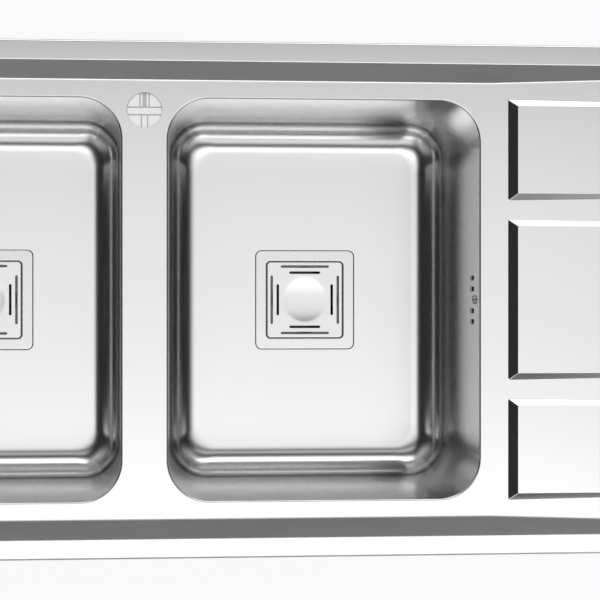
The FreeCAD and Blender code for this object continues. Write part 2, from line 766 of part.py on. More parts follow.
def overflow_nuts(bowl_x, side):
    """Two eight-sided union nuts, one over each end of the overflow pipe."""
    flats = 2 * (pipe_radius + pipe_nut_wall)
    bore = pipe_radius + pipe_nut_clearance
    nut = turned_polygon(0, 0, flats, pipe_nut_sides, -pipe_nut_length / 2, pipe_nut_length / 2)
    nut = nut.cut(round_bar(0, 0, bore, -pipe_nut_length, pipe_nut_length))
    upper = nut.copy()
    upper.translate(at(bowl_x + side * pipe_reach, 0, overflow_z - overflow_height / 2 - housing_spigot_length))
    lower = nut.copy()
    lower.rotate(at(0, 0, 0), at(0, 1, 0), 90)
    lower.translate(at(bowl_x + side * spigot_end, 0, pipe_z))
    return [upper, lower]


def bowl_dampers(bowl_x):
    """Two sound-deadening pads stuck under the bowl's floor, one each side of the waste."""
    pads = []
    middle = (waste_square + damper_width) / 2 + damper_gap
    for turn in (-1, 1):
        pads.append(centred_slab(bowl_x, turn * middle, damper_length, damper_width, damper_corner,
                                 floor_z - sheet - damper_thickness, floor_z - sheet))
    return Part.makeCompound(pads)


def rail(half_run, half_span):
    """Folded rail along X on the back side: welded flange under the rim, web, and a shelf with screw holes."""
    back = half_span - rail_inset
    run_low = -half_run
    flange = block(run_low, half_run, back, back + rail_top_width, rim_under - rail_sheet, rim_under)
    web = block(run_low, half_run, back, back + rail_sheet, rail_shelf_z, rim_under)
    shelf = block(run_low, half_run, back - rail_shelf_width, back + rail_sheet,
                  rail_shelf_z, rail_shelf_z + rail_sheet)
    return flange.fuse(web).fuse(shelf)


def clip_places():
    """Name, screw position and outward direction of each clip, in degrees from +X."""
    along = long_rail_clip_share * half_length
    across = side_rail_clip_share * half_depth
    back = half_depth - clip_screw_inset
    right = half_length - clip_screw_inset
    places = []
    for name, x in (("left", -along), ("middle", 0), ("right", along)):
        places.append(("back_clip_" + name, x, back, 90))
        places.append(("front_clip_" + name, x, -back, -90))
    for name, y in (("front", -across), ("back", across)):
        places.append(("left_clip_" + name, -right, y, 180))
        places.append(("right_clip_" + name, right, y, 0))
    return places


def rails():
    """The four rails, with the clips' screw holes."""
    long_rail = rail(half_length - rail_end_gap, half_depth)
    short_rail = rail(half_depth - side_rail_end_gap, half_length)
    turned = {"rail_back": (long_rail, 0), "rail_front": (long_rail, 180),
              "rail_left": (short_rail, 90), "rail_right": (short_rail, -90)}
    pieces = {}
    for name, (pattern, angle) in turned.items():
        piece = pattern.copy()
        piece.rotate(at(0, 0, 0), at(0, 0, 1), angle)
        for _, x, y, _ in clip_places():
            piece = piece.cut(round_bar(x, y, clip_screw_radius + clip_screw_clearance,
                                        rail_shelf_z - overrun, rail_shelf_z + overrun))
        pieces[name] = piece
    return pieces


def swing_clip():
    """Bent steel clip on its screw's axis, jaw towards +X: arm, turned-up jaw and turned-up heel."""
    half = clip_width / 2
    arm_top = clip_under + clip_sheet
    heel_top = rail_shelf_z - clip_heel_clearance
    clip = slab(-clip_heel_reach, clip_reach, -half, half, clip_sheet, clip_under, arm_top)
    jaw = block(clip_reach - clip_sheet, clip_reach, -half + clip_corner, half - clip_corner, clip_under, jaw_z)
    heel = block(-clip_heel_reach, -clip_heel_reach + clip_sheet, -half + clip_corner, half - clip_corner,
                 clip_under, heel_top)
    clip = clip.fuse(jaw).fuse(heel)
    return clip.cut(round_bar(0, 0, clip_screw_radius + clip_screw_clearance, clip_under - overrun,
                              arm_top + overrun))


def clip_screw(x, y):
    """Screw up through the clip and the rail into its weld nut."""
    head_low = clip_under - clip_screw_head_height
    tip = rail_shelf_z + rail_sheet + clip_nut_height + clip_screw_past_nut
    screw = round_bar(x, y, clip_screw_radius, clip_under, tip)
    screw = screw.fuse(round_bar(x, y, clip_screw_head_radius, head_low, clip_under))
    return screw.cut(centred_block(x, y, 2 * clip_screw_head_radius, clip_screw_slot_width,
                                   head_low, head_low + clip_screw_slot_depth))


def clip_nut(x, y):
    """Hexagon weld nut on the rail's shelf."""
    low = rail_shelf_z + rail_sheet
    nut = turned_polygon(x, y, clip_nut_flats, clip_nut_sides, low, low + clip_nut_height)
    return nut.cut(round_bar(x, y, clip_screw_radius + thread_clearance, low - overrun,
                             low + clip_nut_height + overrun))


def placed_clip(x, y, angle):
    clip = swing_clip()
    clip.rotate(at(0, 0, 0), at(0, 0, 1), angle)
    clip.translate(at(x, y, 0))
    return clip


def side_pieces(prefix, bowl_x, side):
    """Every piece that belongs to one bowl. side is 1 where the overflow faces +X and -1 where it faces -X."""
    return {
        prefix + "_bowl": bowl(bowl_x, side),
        prefix + "_bowl_dampers": bowl_dampers(bowl_x),
        prefix + "_waste_flange": waste_flange(bowl_x),
        prefix + "_upper_gasket": upper_gasket(bowl_x),
        prefix + "_lower_gasket": lower_gasket(bowl_x),
        prefix + "_waste_body": waste_body(bowl_x, side),
        prefix + "_basket": basket(bowl_x),
        prefix + "_basket_knob": basket_knob(bowl_x),
        prefix + "_strainer_lid": strainer_lid(bowl_x),
        prefix + "_overflow_gasket": overflow_gasket(bowl_x, side),
        prefix + "_overflow_housing": overflow_housing(bowl_x, side),
        prefix + "_overflow_pipe": overflow_pipe(bowl_x, side),
    }


def all_pieces():
    """Every node of the sink, by name."""
    pieces = {"sink_deck": sink_deck(), "rim_seal": rim_seal(), "tap_stiffener": tap_stiffener(),
              "tap_hole_plug": tap_hole_plug(), "drainer_braces": drainer_braces()}
    bowls = (("left", left_bowl_x, -1), ("right", right_bowl_x, 1))
    for prefix, bowl_x, side in bowls:
        pieces.update(side_pieces(prefix, bowl_x, side))
    pieces["waste_screws"] = Part.makeCompound([waste_screw(x) for _, x, _ in bowls])
    pieces["waste_inserts"] = Part.makeCompound([waste_insert(x) for _, x, _ in bowls])
    pieces["overflow_screws"] = Part.makeCompound([overflow_screw(x, side) for _, x, side in bowls])
    nuts = []
    for _, bowl_x, side in bowls:
        nuts += overflow_nuts(bowl_x, side)
    pieces["overflow_nuts"] = Part.makeCompound(nuts)
    pieces.update(rails())
    places = clip_places()
    pieces["clip_screws"] = Part.makeCompound([clip_screw(x, y) for _, x, y, _ in places])
    pieces["clip_nuts"] = Part.makeCompound([clip_nut(x, y) for _, x, y, _ in places])
    for name, x, y, angle in places:
        pieces[name] = placed_clip(x, y, angle)
    return pieces


os.makedirs("parts", exist_ok=True)
for node, shape in all_pieces().items():
    shape.exportStep("parts/" + node + ".step")
    bounds = shape.BoundBox
    print(f"{node}: {len(shape.Solids)} solid, valid {shape.isValid()}, volume {shape.Volume:.0f}, "
          f"x {bounds.XMin:.1f} {bounds.XMax:.1f}, y {bounds.YMin:.1f} {bounds.YMax:.1f}, "
          f"z {bounds.ZMin:.1f} {bounds.ZMax:.1f}")
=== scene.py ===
"""Looks of an inset stainless kitchen sink: pressed shells, wastes, clips, studio light and the camera."""

import logging
import math
from collections.abc import Callable, Iterable, Sequence
from dataclasses import dataclass, field, replace
from enum import Enum

import bmesh
import bpy
from mathutils import Matrix, Vector
from mathutils.geometry import delaunay_2d_cdt


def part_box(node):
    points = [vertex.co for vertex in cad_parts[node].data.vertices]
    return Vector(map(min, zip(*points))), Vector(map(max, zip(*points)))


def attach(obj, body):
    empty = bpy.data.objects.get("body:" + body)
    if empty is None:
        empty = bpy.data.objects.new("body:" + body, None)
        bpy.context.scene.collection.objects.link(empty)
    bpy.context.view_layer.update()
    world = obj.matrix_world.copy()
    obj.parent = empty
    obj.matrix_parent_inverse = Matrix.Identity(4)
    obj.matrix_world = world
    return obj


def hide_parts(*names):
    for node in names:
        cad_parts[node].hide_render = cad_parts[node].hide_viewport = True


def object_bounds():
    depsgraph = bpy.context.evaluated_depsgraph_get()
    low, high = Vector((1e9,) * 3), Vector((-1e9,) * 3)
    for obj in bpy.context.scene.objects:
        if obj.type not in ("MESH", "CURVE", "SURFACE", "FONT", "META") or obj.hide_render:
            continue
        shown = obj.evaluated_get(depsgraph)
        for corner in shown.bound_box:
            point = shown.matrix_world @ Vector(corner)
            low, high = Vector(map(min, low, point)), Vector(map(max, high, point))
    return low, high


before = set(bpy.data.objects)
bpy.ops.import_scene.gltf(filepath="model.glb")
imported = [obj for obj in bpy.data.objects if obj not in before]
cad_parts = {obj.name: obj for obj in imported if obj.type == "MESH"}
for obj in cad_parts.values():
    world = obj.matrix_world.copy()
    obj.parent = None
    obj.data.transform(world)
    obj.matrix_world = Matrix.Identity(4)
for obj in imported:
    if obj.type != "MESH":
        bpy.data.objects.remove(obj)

LOG = logging.getLogger("sink")
CAD_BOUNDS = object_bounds()
MM = 0.001
SHEET = 1.0 * MM
TINY = 1e-5  # metres, and points closer than a tenth of it are joined
BEVEL_ABOVE = math.radians(40)  # edges that turn by less aren't rounded
SEARCH_ROUNDS = 8  # after which a height found step by step no longer changes
EdgeTest = Callable[[bpy.types.Mesh, bpy.types.MeshEdge], bool]


# Shader maths

class Value:
    """A shader socket that takes part in plain Python sums."""

    def __init__(self, recipe: "Recipe", socket: bpy.types.NodeSocket) -> None:
        """Wraps an output socket of the recipe's tree."""
        self.recipe = recipe
        self.socket = socket

    def _sum(self, operation: str, first: object, second: object) -> "Value":
        """Adds a Math node for one operation."""
        return self.recipe.node("ShaderNodeMath", {"operation": operation}, first, second)

    def __add__(self, other: object) -> "Value":
        """self + other."""
        return self._sum("ADD", self, other)

    def __radd__(self, other: object) -> "Value":
        """other + self."""
        return self._sum("ADD", other, self)

    def __sub__(self, other: object) -> "Value":
        """self - other."""
        return self._sum("SUBTRACT", self, other)

    def __rsub__(self, other: object) -> "Value":
        """other - self."""
        return self._sum("SUBTRACT", other, self)

    def __mul__(self, other: object) -> "Value":
        """self * other."""
        return self._sum("MULTIPLY", self, other)

    def __rmul__(self, other: object) -> "Value":
        """other * self."""
        return self._sum("MULTIPLY", other, self)

    def __truediv__(self, other: object) -> "Value":
        """self / other."""
        return self._sum("DIVIDE", self, other)

    def __rtruediv__(self, other: object) -> "Value":
        """other / self."""
        return self._sum("DIVIDE", other, self)

    def smooth(self, low: float, high: float) -> "Value":
        """Smooth step from 0 at low to 1 at high."""
        settings = {"interpolation_type": "SMOOTHSTEP"}
        return self.recipe.node("ShaderNodeMapRange", settings, self, low, high)


class Recipe:
    """A node tree that is filled by Python expressions."""

    def __init__(self, tree: bpy.types.NodeTree) -> None:
        """Starts with an empty tree."""
        self.tree = tree
        tree.nodes.clear()

    def feed(self, socket: bpy.types.NodeSocket, value: object) -> None:
        """Links or sets one input socket.

        Args:
            socket: The input.
            value: A Value to link, a plain value to set, or None to leave the input as it is.
        """
        if isinstance(value, Value):
            self.tree.links.new(value.socket, socket)
        elif value is not None:
            socket.default_value = value

    def node(self, kind: str, settings: dict | None = None, *inputs: object,
             output: int | str = 0, **named: object) -> Value:
        """Adds a node.

        Args:
            kind: The node's type.
            settings: Its properties, set first.
            inputs: Values or links of its first sockets, in order.
            output: The output that the result stands for.
            named: Values or links of sockets by name, with _ for a space.

        Returns:
            The chosen output.
        """
        made = self.tree.nodes.new(kind)
        for key, value in (settings or {}).items():
            setattr(made, key, value)
        for socket, value in zip(made.inputs, inputs):
            self.feed(socket, value)
        for name, value in named.items():
            self.feed(made.inputs[name.replace("_", " ")], value)
        return Value(self, made.outputs[output] if made.outputs else made.inputs[0])

    def mix(self, factor: object, first: object, second: object) -> Value:
        """Colour between first and second.

        Args:
            factor: Share of the second colour.
            first: Colour at factor 0.
            second: Colour at factor 1.

        Returns:
            The mixed colour.
        """
        made = self.node("ShaderNodeMix", {"data_type": "RGBA"}, factor, output=2)
        # The two colours come after the node's own number and vector inputs
        self.feed(made.socket.node.inputs[6], first)
        self.feed(made.socket.node.inputs[7], second)
        return made

    def axes(self, vector: Value) -> tuple[Value, Value, Value]:
        """The three parts of a vector."""
        split = self.node("ShaderNodeSeparateXYZ", None, vector).socket.node
        return tuple(Value(self, out) for out in split.outputs)


def grey(level: float, warm: float = 0.0) -> tuple[float, float, float, float]:
    """Colour of one grey level, a little warmer with warm."""
    return (level * (1 + warm), level, level * (1 - warm), 1.0)


class Grain(Enum):
    """Direction of a finish's fine grain, as the scale of its pattern along X, Y and Z."""

    ALONG_X = (0.03, 1.0, 1.0)
    EVEN = (1.0, 1.0, 1.0)


@dataclass(frozen=True)
class Finish:
    """A surface finish, with its pattern in object coordinates, and painted shade below a height where one is
    given.
    """

    name: str
    slot: str
    colour: tuple[float, float, float, float]
    roughness: float
    metallic: float = 0.0
    grain: Grain = Grain.EVEN
    grain_scale: float = 900.0  # grains per metre
    grain_height: float = 2e-6  # metres
    grain_sheen: float = 0.03  # how far the grain moves the roughness
    cloud_scale: float = 7.0
    cloud_shade: float = 0.02  # how far broad clouds move the colour
    cloud_sheen: float = 0.03
    tint: float = 0.06  # how far the palest and darkest places lie from the colour
    painted_shade_below: float | None = None  # height under which the colour turns to painted shade
    # colour of that painted shade
    painted_shade_colour: tuple[float, float, float, float] = grey(0.12)

    def material(self) -> bpy.types.Material:
        """Builds the finish's material once.

        Returns:
            The material, the same one at every call.
        """
        found = bpy.data.materials.get(self.name)
        if found:
            return found
        made = bpy.data.materials.new(self.name)
        made.use_nodes = True
        recipe = Recipe(made.node_tree)
        place = recipe.node("ShaderNodeTexCoord", output="Object")
        drawn_out = recipe.node("ShaderNodeMapping", None, place, Scale=self.grain.value)
        fine = recipe.node("ShaderNodeTexNoise", None, Vector=drawn_out, Scale=self.grain_scale,
                           Detail=2.0, Roughness=0.6)
        cloud = recipe.node("ShaderNodeTexNoise", None, Vector=place, Scale=self.cloud_scale, Detail=3.0)
        shade = (cloud - 0.5) * (2 * self.cloud_shade) + (fine - 0.5) * self.cloud_shade
        colour = recipe.mix(shade + 0.5, self.shaded(1 - self.tint), self.shaded(1 + self.tint))
        # Painted shade: below the given height the colour is mixed into the painted shade colour
        if self.painted_shade_below is not None:
            height = recipe.axes(place)[2]
            above = height.smooth(self.painted_shade_below, self.painted_shade_below + MM)
            colour = recipe.mix(above, self.painted_shade_colour, colour)
        rough = self.roughness + (cloud - 0.5) * (2 * self.cloud_sheen) + (fine - 0.5) * self.grain_sheen
        bump = recipe.node("ShaderNodeBump", None, Height=fine, Distance=self.grain_height, Strength=1.0)
        shader = recipe.node("ShaderNodeBsdfPrincipled", None, Base_Color=colour, Metallic=self.metallic,
                             Roughness=rough, Normal=bump)
        recipe.node("ShaderNodeOutputMaterial", None, shader)
        return made

    def shaded(self, share: float) -> tuple[float, float, float, float]:
        """The finish's colour times share, at most white."""
        return tuple(min(part * share, 1.0) for part in self.colour[:3]) + (1.0,)


SHEET_STEEL = Finish("satin_sheet_steel", "sheet_steel", grey(0.74), 0.2, 1.0, Grain.ALONG_X,
                     grain_height=0.6e-6, cloud_shade=0.01, cloud_sheen=0.01)
# Painted shade: the flange's cup below the seat is painted dark, as if in the shadow under the lid
WASTE_STEEL = Finish("satin_waste_steel", "waste_steel", grey(0.76), 0.27, 1.0, Grain.EVEN,
                     grain_height=0.5e-6, cloud_shade=0.01, painted_shade_below=-219.0 * MM)
# Painted shade: the basket's steel is dark grey so that, seen through the lid's slots, it stands in for the
# shade under the lid; its dull roughness is real
BASKET_SHADE_STEEL = Finish("dull_basket_steel", "waste_steel", grey(0.18), 0.42, 1.0, Grain.EVEN,
                      grain_height=0.8e-6, cloud_scale=60.0, cloud_shade=0.04)
LID_STEEL = Finish("polished_lid_steel", "lid_steel", grey(0.72), 0.15, 1.0, Grain.EVEN,
                   grain_height=0.4e-6, cloud_shade=0.01)
RAIL_STEEL = Finish("zinc_rail_steel", "rail_steel", grey(0.60), 0.42, 1.0, Grain.ALONG_X,
                    cloud_scale=60.0, cloud_shade=0.10, cloud_sheen=0.08)
CLIP_STEEL = Finish("zinc_clip_steel", "clip_steel", grey(0.58), 0.38, 1.0, Grain.EVEN,
                    cloud_scale=150.0, cloud_shade=0.10, cloud_sheen=0.08)
SCREW_STEEL = Finish("bright_screw_steel", "screw_steel", grey(0.66), 0.26, 1.0, Grain.EVEN,
                     cloud_scale=200.0, cloud_shade=0.06)
WHITE_PLASTIC = Finish("white_moulded_plastic", "white_plastic", grey(0.88, 0.01), 0.42, 0.0,
                       grain_height=4e-6, cloud_shade=0.01)
# Painted shade: the tap plug's grooves, below the tops of its fields, are painted mid grey
PLUG_PLASTIC = replace(WHITE_PLASTIC, name="white_grooved_plastic", painted_shade_below=-6.2 * MM,
                       painted_shade_colour=grey(0.5))
WASTE_PLASTIC = Finish("pale_waste_plastic", "waste_plastic", grey(0.78, 0.01), 0.38, 0.0,
                       grain_height=6e-6, cloud_shade=0.03)
GASKET_RUBBER = Finish("black_gasket_rubber", "gasket_rubber", grey(0.05), 0.62, 0.0, grain_height=8e-6)
SEAL_FOAM = Finish("grey_seal_foam", "seal_foam", grey(0.14), 0.9, 0.0, grain_height=60e-6, cloud_shade=0.1)
DAMPER_RUBBER = Finish("bitumen_damper_pad", "damper_rubber", grey(0.07), 0.72, 0.0,
                       grain_scale=260.0, grain_height=160e-6, cloud_scale=30.0, cloud_shade=0.15)
INSERT_BRASS = Finish("turned_insert_brass", "insert_brass", (0.70, 0.52, 0.22, 1.0), 0.30, 1.0)


# Mesh making

@dataclass(frozen=True)
class Spot:
    """A place round a rectangular outline, on a side or on a corner's arc."""

    side_x: int
    side_y: int
    along: float = 0.0  # along a side, from the outline's middle
    angle: float = 0.0  # on a corner, direction from the arc's centre


def spots_round(along_x: Iterable[float], along_y: Iterable[float], steps: int) -> list[Spot]:
    """Spots round an outline, anticlockwise from the front end of the right side.

    Args:
        along_x: Places on the front and back sides.
        along_y: Places on the left and right sides.
        steps: Chords in each corner's arc.

    Returns:
        The spots in order.
    """
    up_x, up_y = sorted(along_x), sorted(along_y)
    sides = {0: [Spot(1, 0, y) for y in up_y], 1: [Spot(0, 1, x) for x in reversed(up_x)],
             2: [Spot(-1, 0, y) for y in reversed(up_y)], 3: [Spot(0, -1, x) for x in up_x]}
    corners = ((1, 1), (-1, 1), (-1, -1), (1, -1))
    found = []
    for quarter, (side_x, side_y) in enumerate(corners):
        found += sides[quarter]
        for step in range(steps + 1):
            found.append(Spot(side_x, side_y, angle=math.pi / 2 * (quarter + step / steps)))
    return found


@dataclass(frozen=True)
class Outline:
    """Rectangle with round corners."""

    x: float
    y: float
    half_x: float
    half_y: float
    corner: float
    corner_fall: float = 1.0  # how much the corner's radius shrinks for each inset

    def place(self, spot: Spot, inset: float = 0.0) -> tuple[float, float]:
        """Where a spot lies once the outline is drawn in by inset.

        Args:
            spot: Place round the outline.
            inset: How far the outline is drawn in.

        Returns:
            The spot's x and y.
        """
        radius = max(self.corner - self.corner_fall * inset, TINY)
        reach_x, reach_y = self.half_x - inset, self.half_y - inset
        if spot.side_x and spot.side_y:
            return (self.x + spot.side_x * (reach_x - radius) + radius * math.cos(spot.angle),
                    self.y + spot.side_y * (reach_y - radius) + radius * math.sin(spot.angle))
        if spot.side_x:
            return self.x + spot.side_x * reach_x, self.y + spot.along
        return self.x + spot.along, self.y + spot.side_y * reach_y

    def ring(self, spots: Sequence[Spot], inset: float, z: float) -> list[Vector]:
        """The whole outline at one inset and height."""
        return [Vector((*self.place(spot, inset), z)) for spot in spots]

    def round_ring(self, spots: Sequence[Spot], radius: float, z: float) -> list[Vector]:
        """A circle about the outline's middle, its points in line with the outline's.

        Args:
            spots: Places round the outline.
            radius: The circle's radius.
            z: Its height.

        Returns:
            A point for each spot.
        """
        points = []
        for spot in spots:
            x, y = self.place(spot)
            angle = math.atan2(y - self.y, x - self.x)
            points.append(Vector((self.x + radius * math.cos(angle), self.y + radius * math.sin(angle), z)))
        return points


def rounded(corners: Sequence[tuple[float, float]], radii: Sequence[float],
            steps: Sequence[int]) -> list[tuple[float, float]]:
    """A 2-D path whose inner corners are arcs.

    Args:
        corners: The path's corners, with its two ends.
        radii: Radius at each inner corner.
        steps: Chords in each inner corner's arc.

    Returns:
        The path's points.
    """
    path = [tuple(corners[0])]
    for before, here, after, radius, count in zip(corners, corners[1:], corners[2:], radii, steps):
        here = Vector(here)
        back, ahead = (Vector(before) - here).normalized(), (Vector(after) - here).normalized()
        half = back.angle(ahead) / 2
        centre = here + (back + ahead).normalized() * (radius / math.sin(half))
        start = here + back * (radius / math.tan(half)) - centre
        stop = here + ahead * (radius / math.tan(half)) - centre
        first, last = math.atan2(start.y, start.x), math.atan2(stop.y, stop.x)
        turn = (last - first + math.pi) % (2 * math.pi) - math.pi
        for step in range(count + 1):
            angle = first + turn * step / count
            path.append((centre.x + radius * math.cos(angle), centre.y + radius * math.sin(angle)))
    path.append(tuple(corners[-1]))
    return path


def even_turns(count: int) -> list[float]:
    """Angles of points that are spread evenly round a circle."""
    return [2 * math.pi * step / count for step in range(count)]


def fan(reach: float, steps: int) -> list[float]:
    """Angles from -reach to reach, in equal steps."""
    return [reach * (2 * step / steps - 1) for step in range(steps + 1)]


def polar(radius: float, angle: float, z: float) -> Vector:
    """Point at a distance and an angle from the Z axis."""
    return Vector((radius * math.cos(angle), radius * math.sin(angle), z))


def circle(x: float, y: float, z: float, radius: float, count: int) -> list[Vector]:
    """Points of a level circle."""
    return [Vector((x + radius * math.cos(t), y + radius * math.sin(t), z)) for t in even_turns(count)]


def flat(points: Iterable[Vector]) -> list[tuple[float, float]]:
    """The points without their heights."""
    return [(point.x, point.y) for point in points]


def stadium(length: float, width: float, steps: int) -> list[tuple[float, float]]:
    """Outline of a slot with round ends, long side along the first axis.

    Args:
        length: Its whole length.
        width: Its whole width.
        steps: Chords in each end's arc.

    Returns:
        The outline, anticlockwise.
    """
    points = []
    for end in (1, -1):
        for step in range(steps + 1):
            angle = math.pi * (step / steps - 0.5) + (0 if end > 0 else math.pi)
            points.append((end * (length - width) / 2 + width / 2 * math.cos(angle),
                           width / 2 * math.sin(angle)))
    return points


def is_inside(point: Vector, places: Sequence[Vector], edges: Iterable[tuple[int, int]]) -> bool:
    """Does a point lie inside an odd number of the loops that the edges form?

    Args:
        point: The point.
        places: The loops' corners.
        edges: Pairs of indices into places.

    Returns:
        True inside the loops, False outside them and in their holes.
    """
    inside = False
    for start, stop in edges:
        low, high = places[start], places[stop]
        if (low.y > point.y) != (high.y > point.y):
            across = low.x + (point.y - low.y) * (high.x - low.x) / (high.y - low.y)
            inside ^= point.x < across
    return inside


class Surface:
    """A mesh under construction, made of rings, bands and flat fills."""

    def __init__(self) -> None:
        """Starts empty."""
        self.mesh = bmesh.new()

    def ring(self, points: Iterable[Vector]) -> list[bmesh.types.BMVert]:
        """Adds a row of vertices."""
        return [self.mesh.verts.new(point) for point in points]

    def band(self, rings: Sequence[Sequence[bmesh.types.BMVert]], closed: bool = True,
             gap: Callable[[int, int], bool] = lambda row, column: False) -> None:
        """Joins rings of equal length by faces, leaving out those that gap names.

        Args:
            rings: Rows of vertices, one after the other.
            closed: Whether each row closes on itself.
            gap: Tells by row and column which faces are left out.
        """
        for row, (low, high) in enumerate(zip(rings, rings[1:])):
            count = len(low)
            for column in range(count if closed else count - 1):
                after = (column + 1) % count
                if not gap(row, column):
                    self.mesh.faces.new((low[column], low[after], high[after], high[column]))

    def fill(self, *loops: Sequence[bmesh.types.BMVert],
             normal: tuple[float, float, float] = (0, 0, 1)) -> None:
        """Fills a flat loop. Further loops are holes in it.

        Args:
            loops: Vertices of the outer loop, then of each hole.
            normal: Direction that the plane faces.
        """
        verts = [vert for loop in loops for vert in loop]
        level = Vector(normal).rotation_difference(Vector((0, 0, 1))).to_matrix()
        edges, start = [], 0
        for loop in loops:
            edges += [(start + i, start + (i + 1) % len(loop)) for i in range(len(loop))]
            start += len(loop)
        places = [(level @ vert.co).to_2d() for vert in verts]
        points, _, faces, sources, *_ = delaunay_2d_cdt(places, edges, [], 0, TINY / 10)
        for face in faces:
            middle = sum((points[i] for i in face), Vector((0, 0))) / len(face)
            if is_inside(middle, places, edges):
                self.mesh.faces.new([verts[sources[i][0]] for i in face])

    def prism(self, points: Sequence[tuple[float, float]], low: float, high: float,
              bore: Sequence[tuple[float, float]] = ()) -> None:
        """Closed upright prism over a flat outline, with a bore if one is given.

        Args:
            points: The outline.
            low: Height of the lower face.
            high: Height of the upper face.
            bore: The bore's outline.
        """
        loops = [loop for loop in (points, bore) if loop]
        lower = [self.ring(Vector((x, y, low)) for x, y in loop) for loop in loops]
        upper = [self.ring(Vector((x, y, high)) for x, y in loop) for loop in loops]
        for pair in zip(lower, upper):
            self.band(pair)
        self.fill(*lower)
        self.fill(*upper)

    def tube(self, path: Sequence[Vector], outer: float, inner: float, across: Vector,
             count: int = 32) -> None:
        """Pipe of round section along a flat path.

        Args:
            path: The pipe's middle line.
            outer: Outer radius.
            inner: Radius of the bore.
            across: Direction square to the path's plane.
            count: Points round the section.
        """
        rings = {outer: [], inner: []}
        for before, here, after in zip((path[0], *path), path, (*path[1:], path[-1])):
            sideways = (after - before).normalized().cross(across)
            for radius, made in rings.items():
                made.append(self.ring(here + radius * (math.cos(t) * across + math.sin(t) * sideways)
                                      for t in even_turns(count)))
        self.band([*rings[outer], *reversed(rings[inner]), rings[outer][0]])

    def take(self, mesh: bpy.types.Mesh, move: Matrix | None = None) -> "Surface":
        """Adds a finished mesh, moved, and drops it.

        Args:
            mesh: The mesh, which is used up.
            move: Where it is moved to first.

        Returns:
            The surface itself.
        """
        if move is not None:
            mesh.transform(move)
        self.mesh.from_mesh(mesh)
        bpy.data.meshes.remove(mesh)
        return self

    def hand_over(self) -> bpy.types.Mesh:
        """Ends the work on the surface.

        Returns:
            Its mesh.
        """
        mesh = bpy.data.meshes.new("seed")
        bmesh.ops.recalc_face_normals(self.mesh, faces=self.mesh.faces)
        self.mesh.to_mesh(mesh)
        self.mesh.free()
        return mesh

    def lathe(self, profile: Sequence[tuple[float, float]], count: int, x: float = 0.0, y: float = 0.0,
              closed: bool = False) -> None:
        """Turns a profile about an upright axis. An end on the axis is closed.

        Args:
            profile: Radius and height of its points.
            count: Points round the axis.
            x: The axis's place from left to right.
            y: Its place from front to back.
            closed: Whether the profile ends where it starts.
        """
        rings = []
        for radius, z in profile:
            rings.append(self.ring(circle(x, y, z, radius, count)) if radius > TINY
                         else [self.mesh.verts.new((x, y, z))] * count)
        if closed:
            rings.append(rings[0])
        for low, high in zip(rings, rings[1:]):
            for column in range(count):
                after = (column + 1) % count
                corners = dict.fromkeys((low[column], low[after], high[after], high[column]))
                if len(corners) > 2:
                    self.mesh.faces.new(list(corners))

    def finish(self, name: str, finish: Finish, thickness: float = 0.0, edge: float = 0.0,
               sharp: float = 32.0, crease: EdgeTest | None = None,
               turn: Matrix | None = None) -> bpy.types.Object:
        """Turns the mesh into a finished object.

        Args:
            name: The piece's name.
            finish: Its surface.
            thickness: Sheet thickness, added below the modelled face. 0 for a closed solid.
            edge: Width of the rounding on a solid's edges.
            sharp: Angle in degrees above which an edge stays sharp.
            crease: Tells which further edges stay sharp.
            turn: Where the finished mesh is moved to.

        Returns:
            The object, at the origin.
        """
        bmesh.ops.remove_doubles(self.mesh, verts=self.mesh.verts, dist=TINY / 10)
        bmesh.ops.recalc_face_normals(self.mesh, faces=self.mesh.faces)
        if thickness:
            facing = sum((f.normal * f.calc_area() for f in self.mesh.faces), Vector())
            if facing.z < 0:
                bmesh.ops.reverse_faces(self.mesh, faces=self.mesh.faces)
        mesh = bpy.data.meshes.new(name)
        self.mesh.to_mesh(mesh)
        self.mesh.free()
        mesh.materials.append(finish.material())
        piece = bpy.data.objects.new(name, mesh)
        bpy.context.scene.collection.objects.link(piece)
        if thickness:
            wall = piece.modifiers.new("sheet", "SOLIDIFY")
            wall.thickness = thickness
            wall.offset = -1.0
            wall.use_even_offset = True
            wall.use_quality_normals = True
            make_plain(piece)
        if edge:
            rounding = piece.modifiers.new("edges", "BEVEL")
            rounding.width = edge
            rounding.segments = 2
            rounding.angle_limit = BEVEL_ABOVE
            make_plain(piece)
        if turn is not None:
            piece.data.transform(turn)
        smooth(piece, sharp, crease)
        return piece


def wedge(inner: float, outer: float, count: int, steps: int, z: float,
          holes: Sequence[Sequence[Vector]]) -> Surface:
    """Level wedge of a ring about the Z axis, one of count, with holes.

    Args:
        inner: Inner radius.
        outer: Outer radius.
        count: Wedges in the whole ring.
        steps: Chords in the wedge's arcs.
        z: Height.
        holes: Points round each hole.

    Returns:
        The wedge, its middle on the X axis.
    """
    surface = Surface()
    inward, outward = ([polar(radius, turn, z) for turn in fan(math.pi / count, steps)]
                       for radius in (inner, outer))
    edge = surface.ring(outward) + surface.ring(reversed(inward))
    surface.fill(edge, *[surface.ring(hole) for hole in holes])
    return surface


def make_plain(piece: bpy.types.Object) -> None:
    """Replaces a piece's mesh by its evaluated one and drops the modifiers.

    Args:
        piece: The object to change.
    """
    seen = piece.evaluated_get(bpy.context.evaluated_depsgraph_get())
    mesh = bpy.data.meshes.new_from_object(seen)
    mesh.name = piece.name
    piece.modifiers.clear()
    piece.data = mesh


def smooth(piece: bpy.types.Object, sharp: float, crease: EdgeTest | None = None) -> None:
    """Smooth shading with sharp edges above an angle, and normals led by the large faces.

    Args:
        piece: The object to change.
        sharp: The angle in degrees.
        crease: Tells which further edges stay sharp.
    """
    mesh = piece.data
    mesh.shade_smooth()
    mesh.set_sharp_from_angle(angle=math.radians(sharp))
    if crease:
        for edge in mesh.edges:
            if crease(mesh, edge):
                edge.use_edge_sharp = True
    even = piece.modifiers.new("even_normals", "WEIGHTED_NORMAL")
    even.keep_sharp = True
    make_plain(piece)


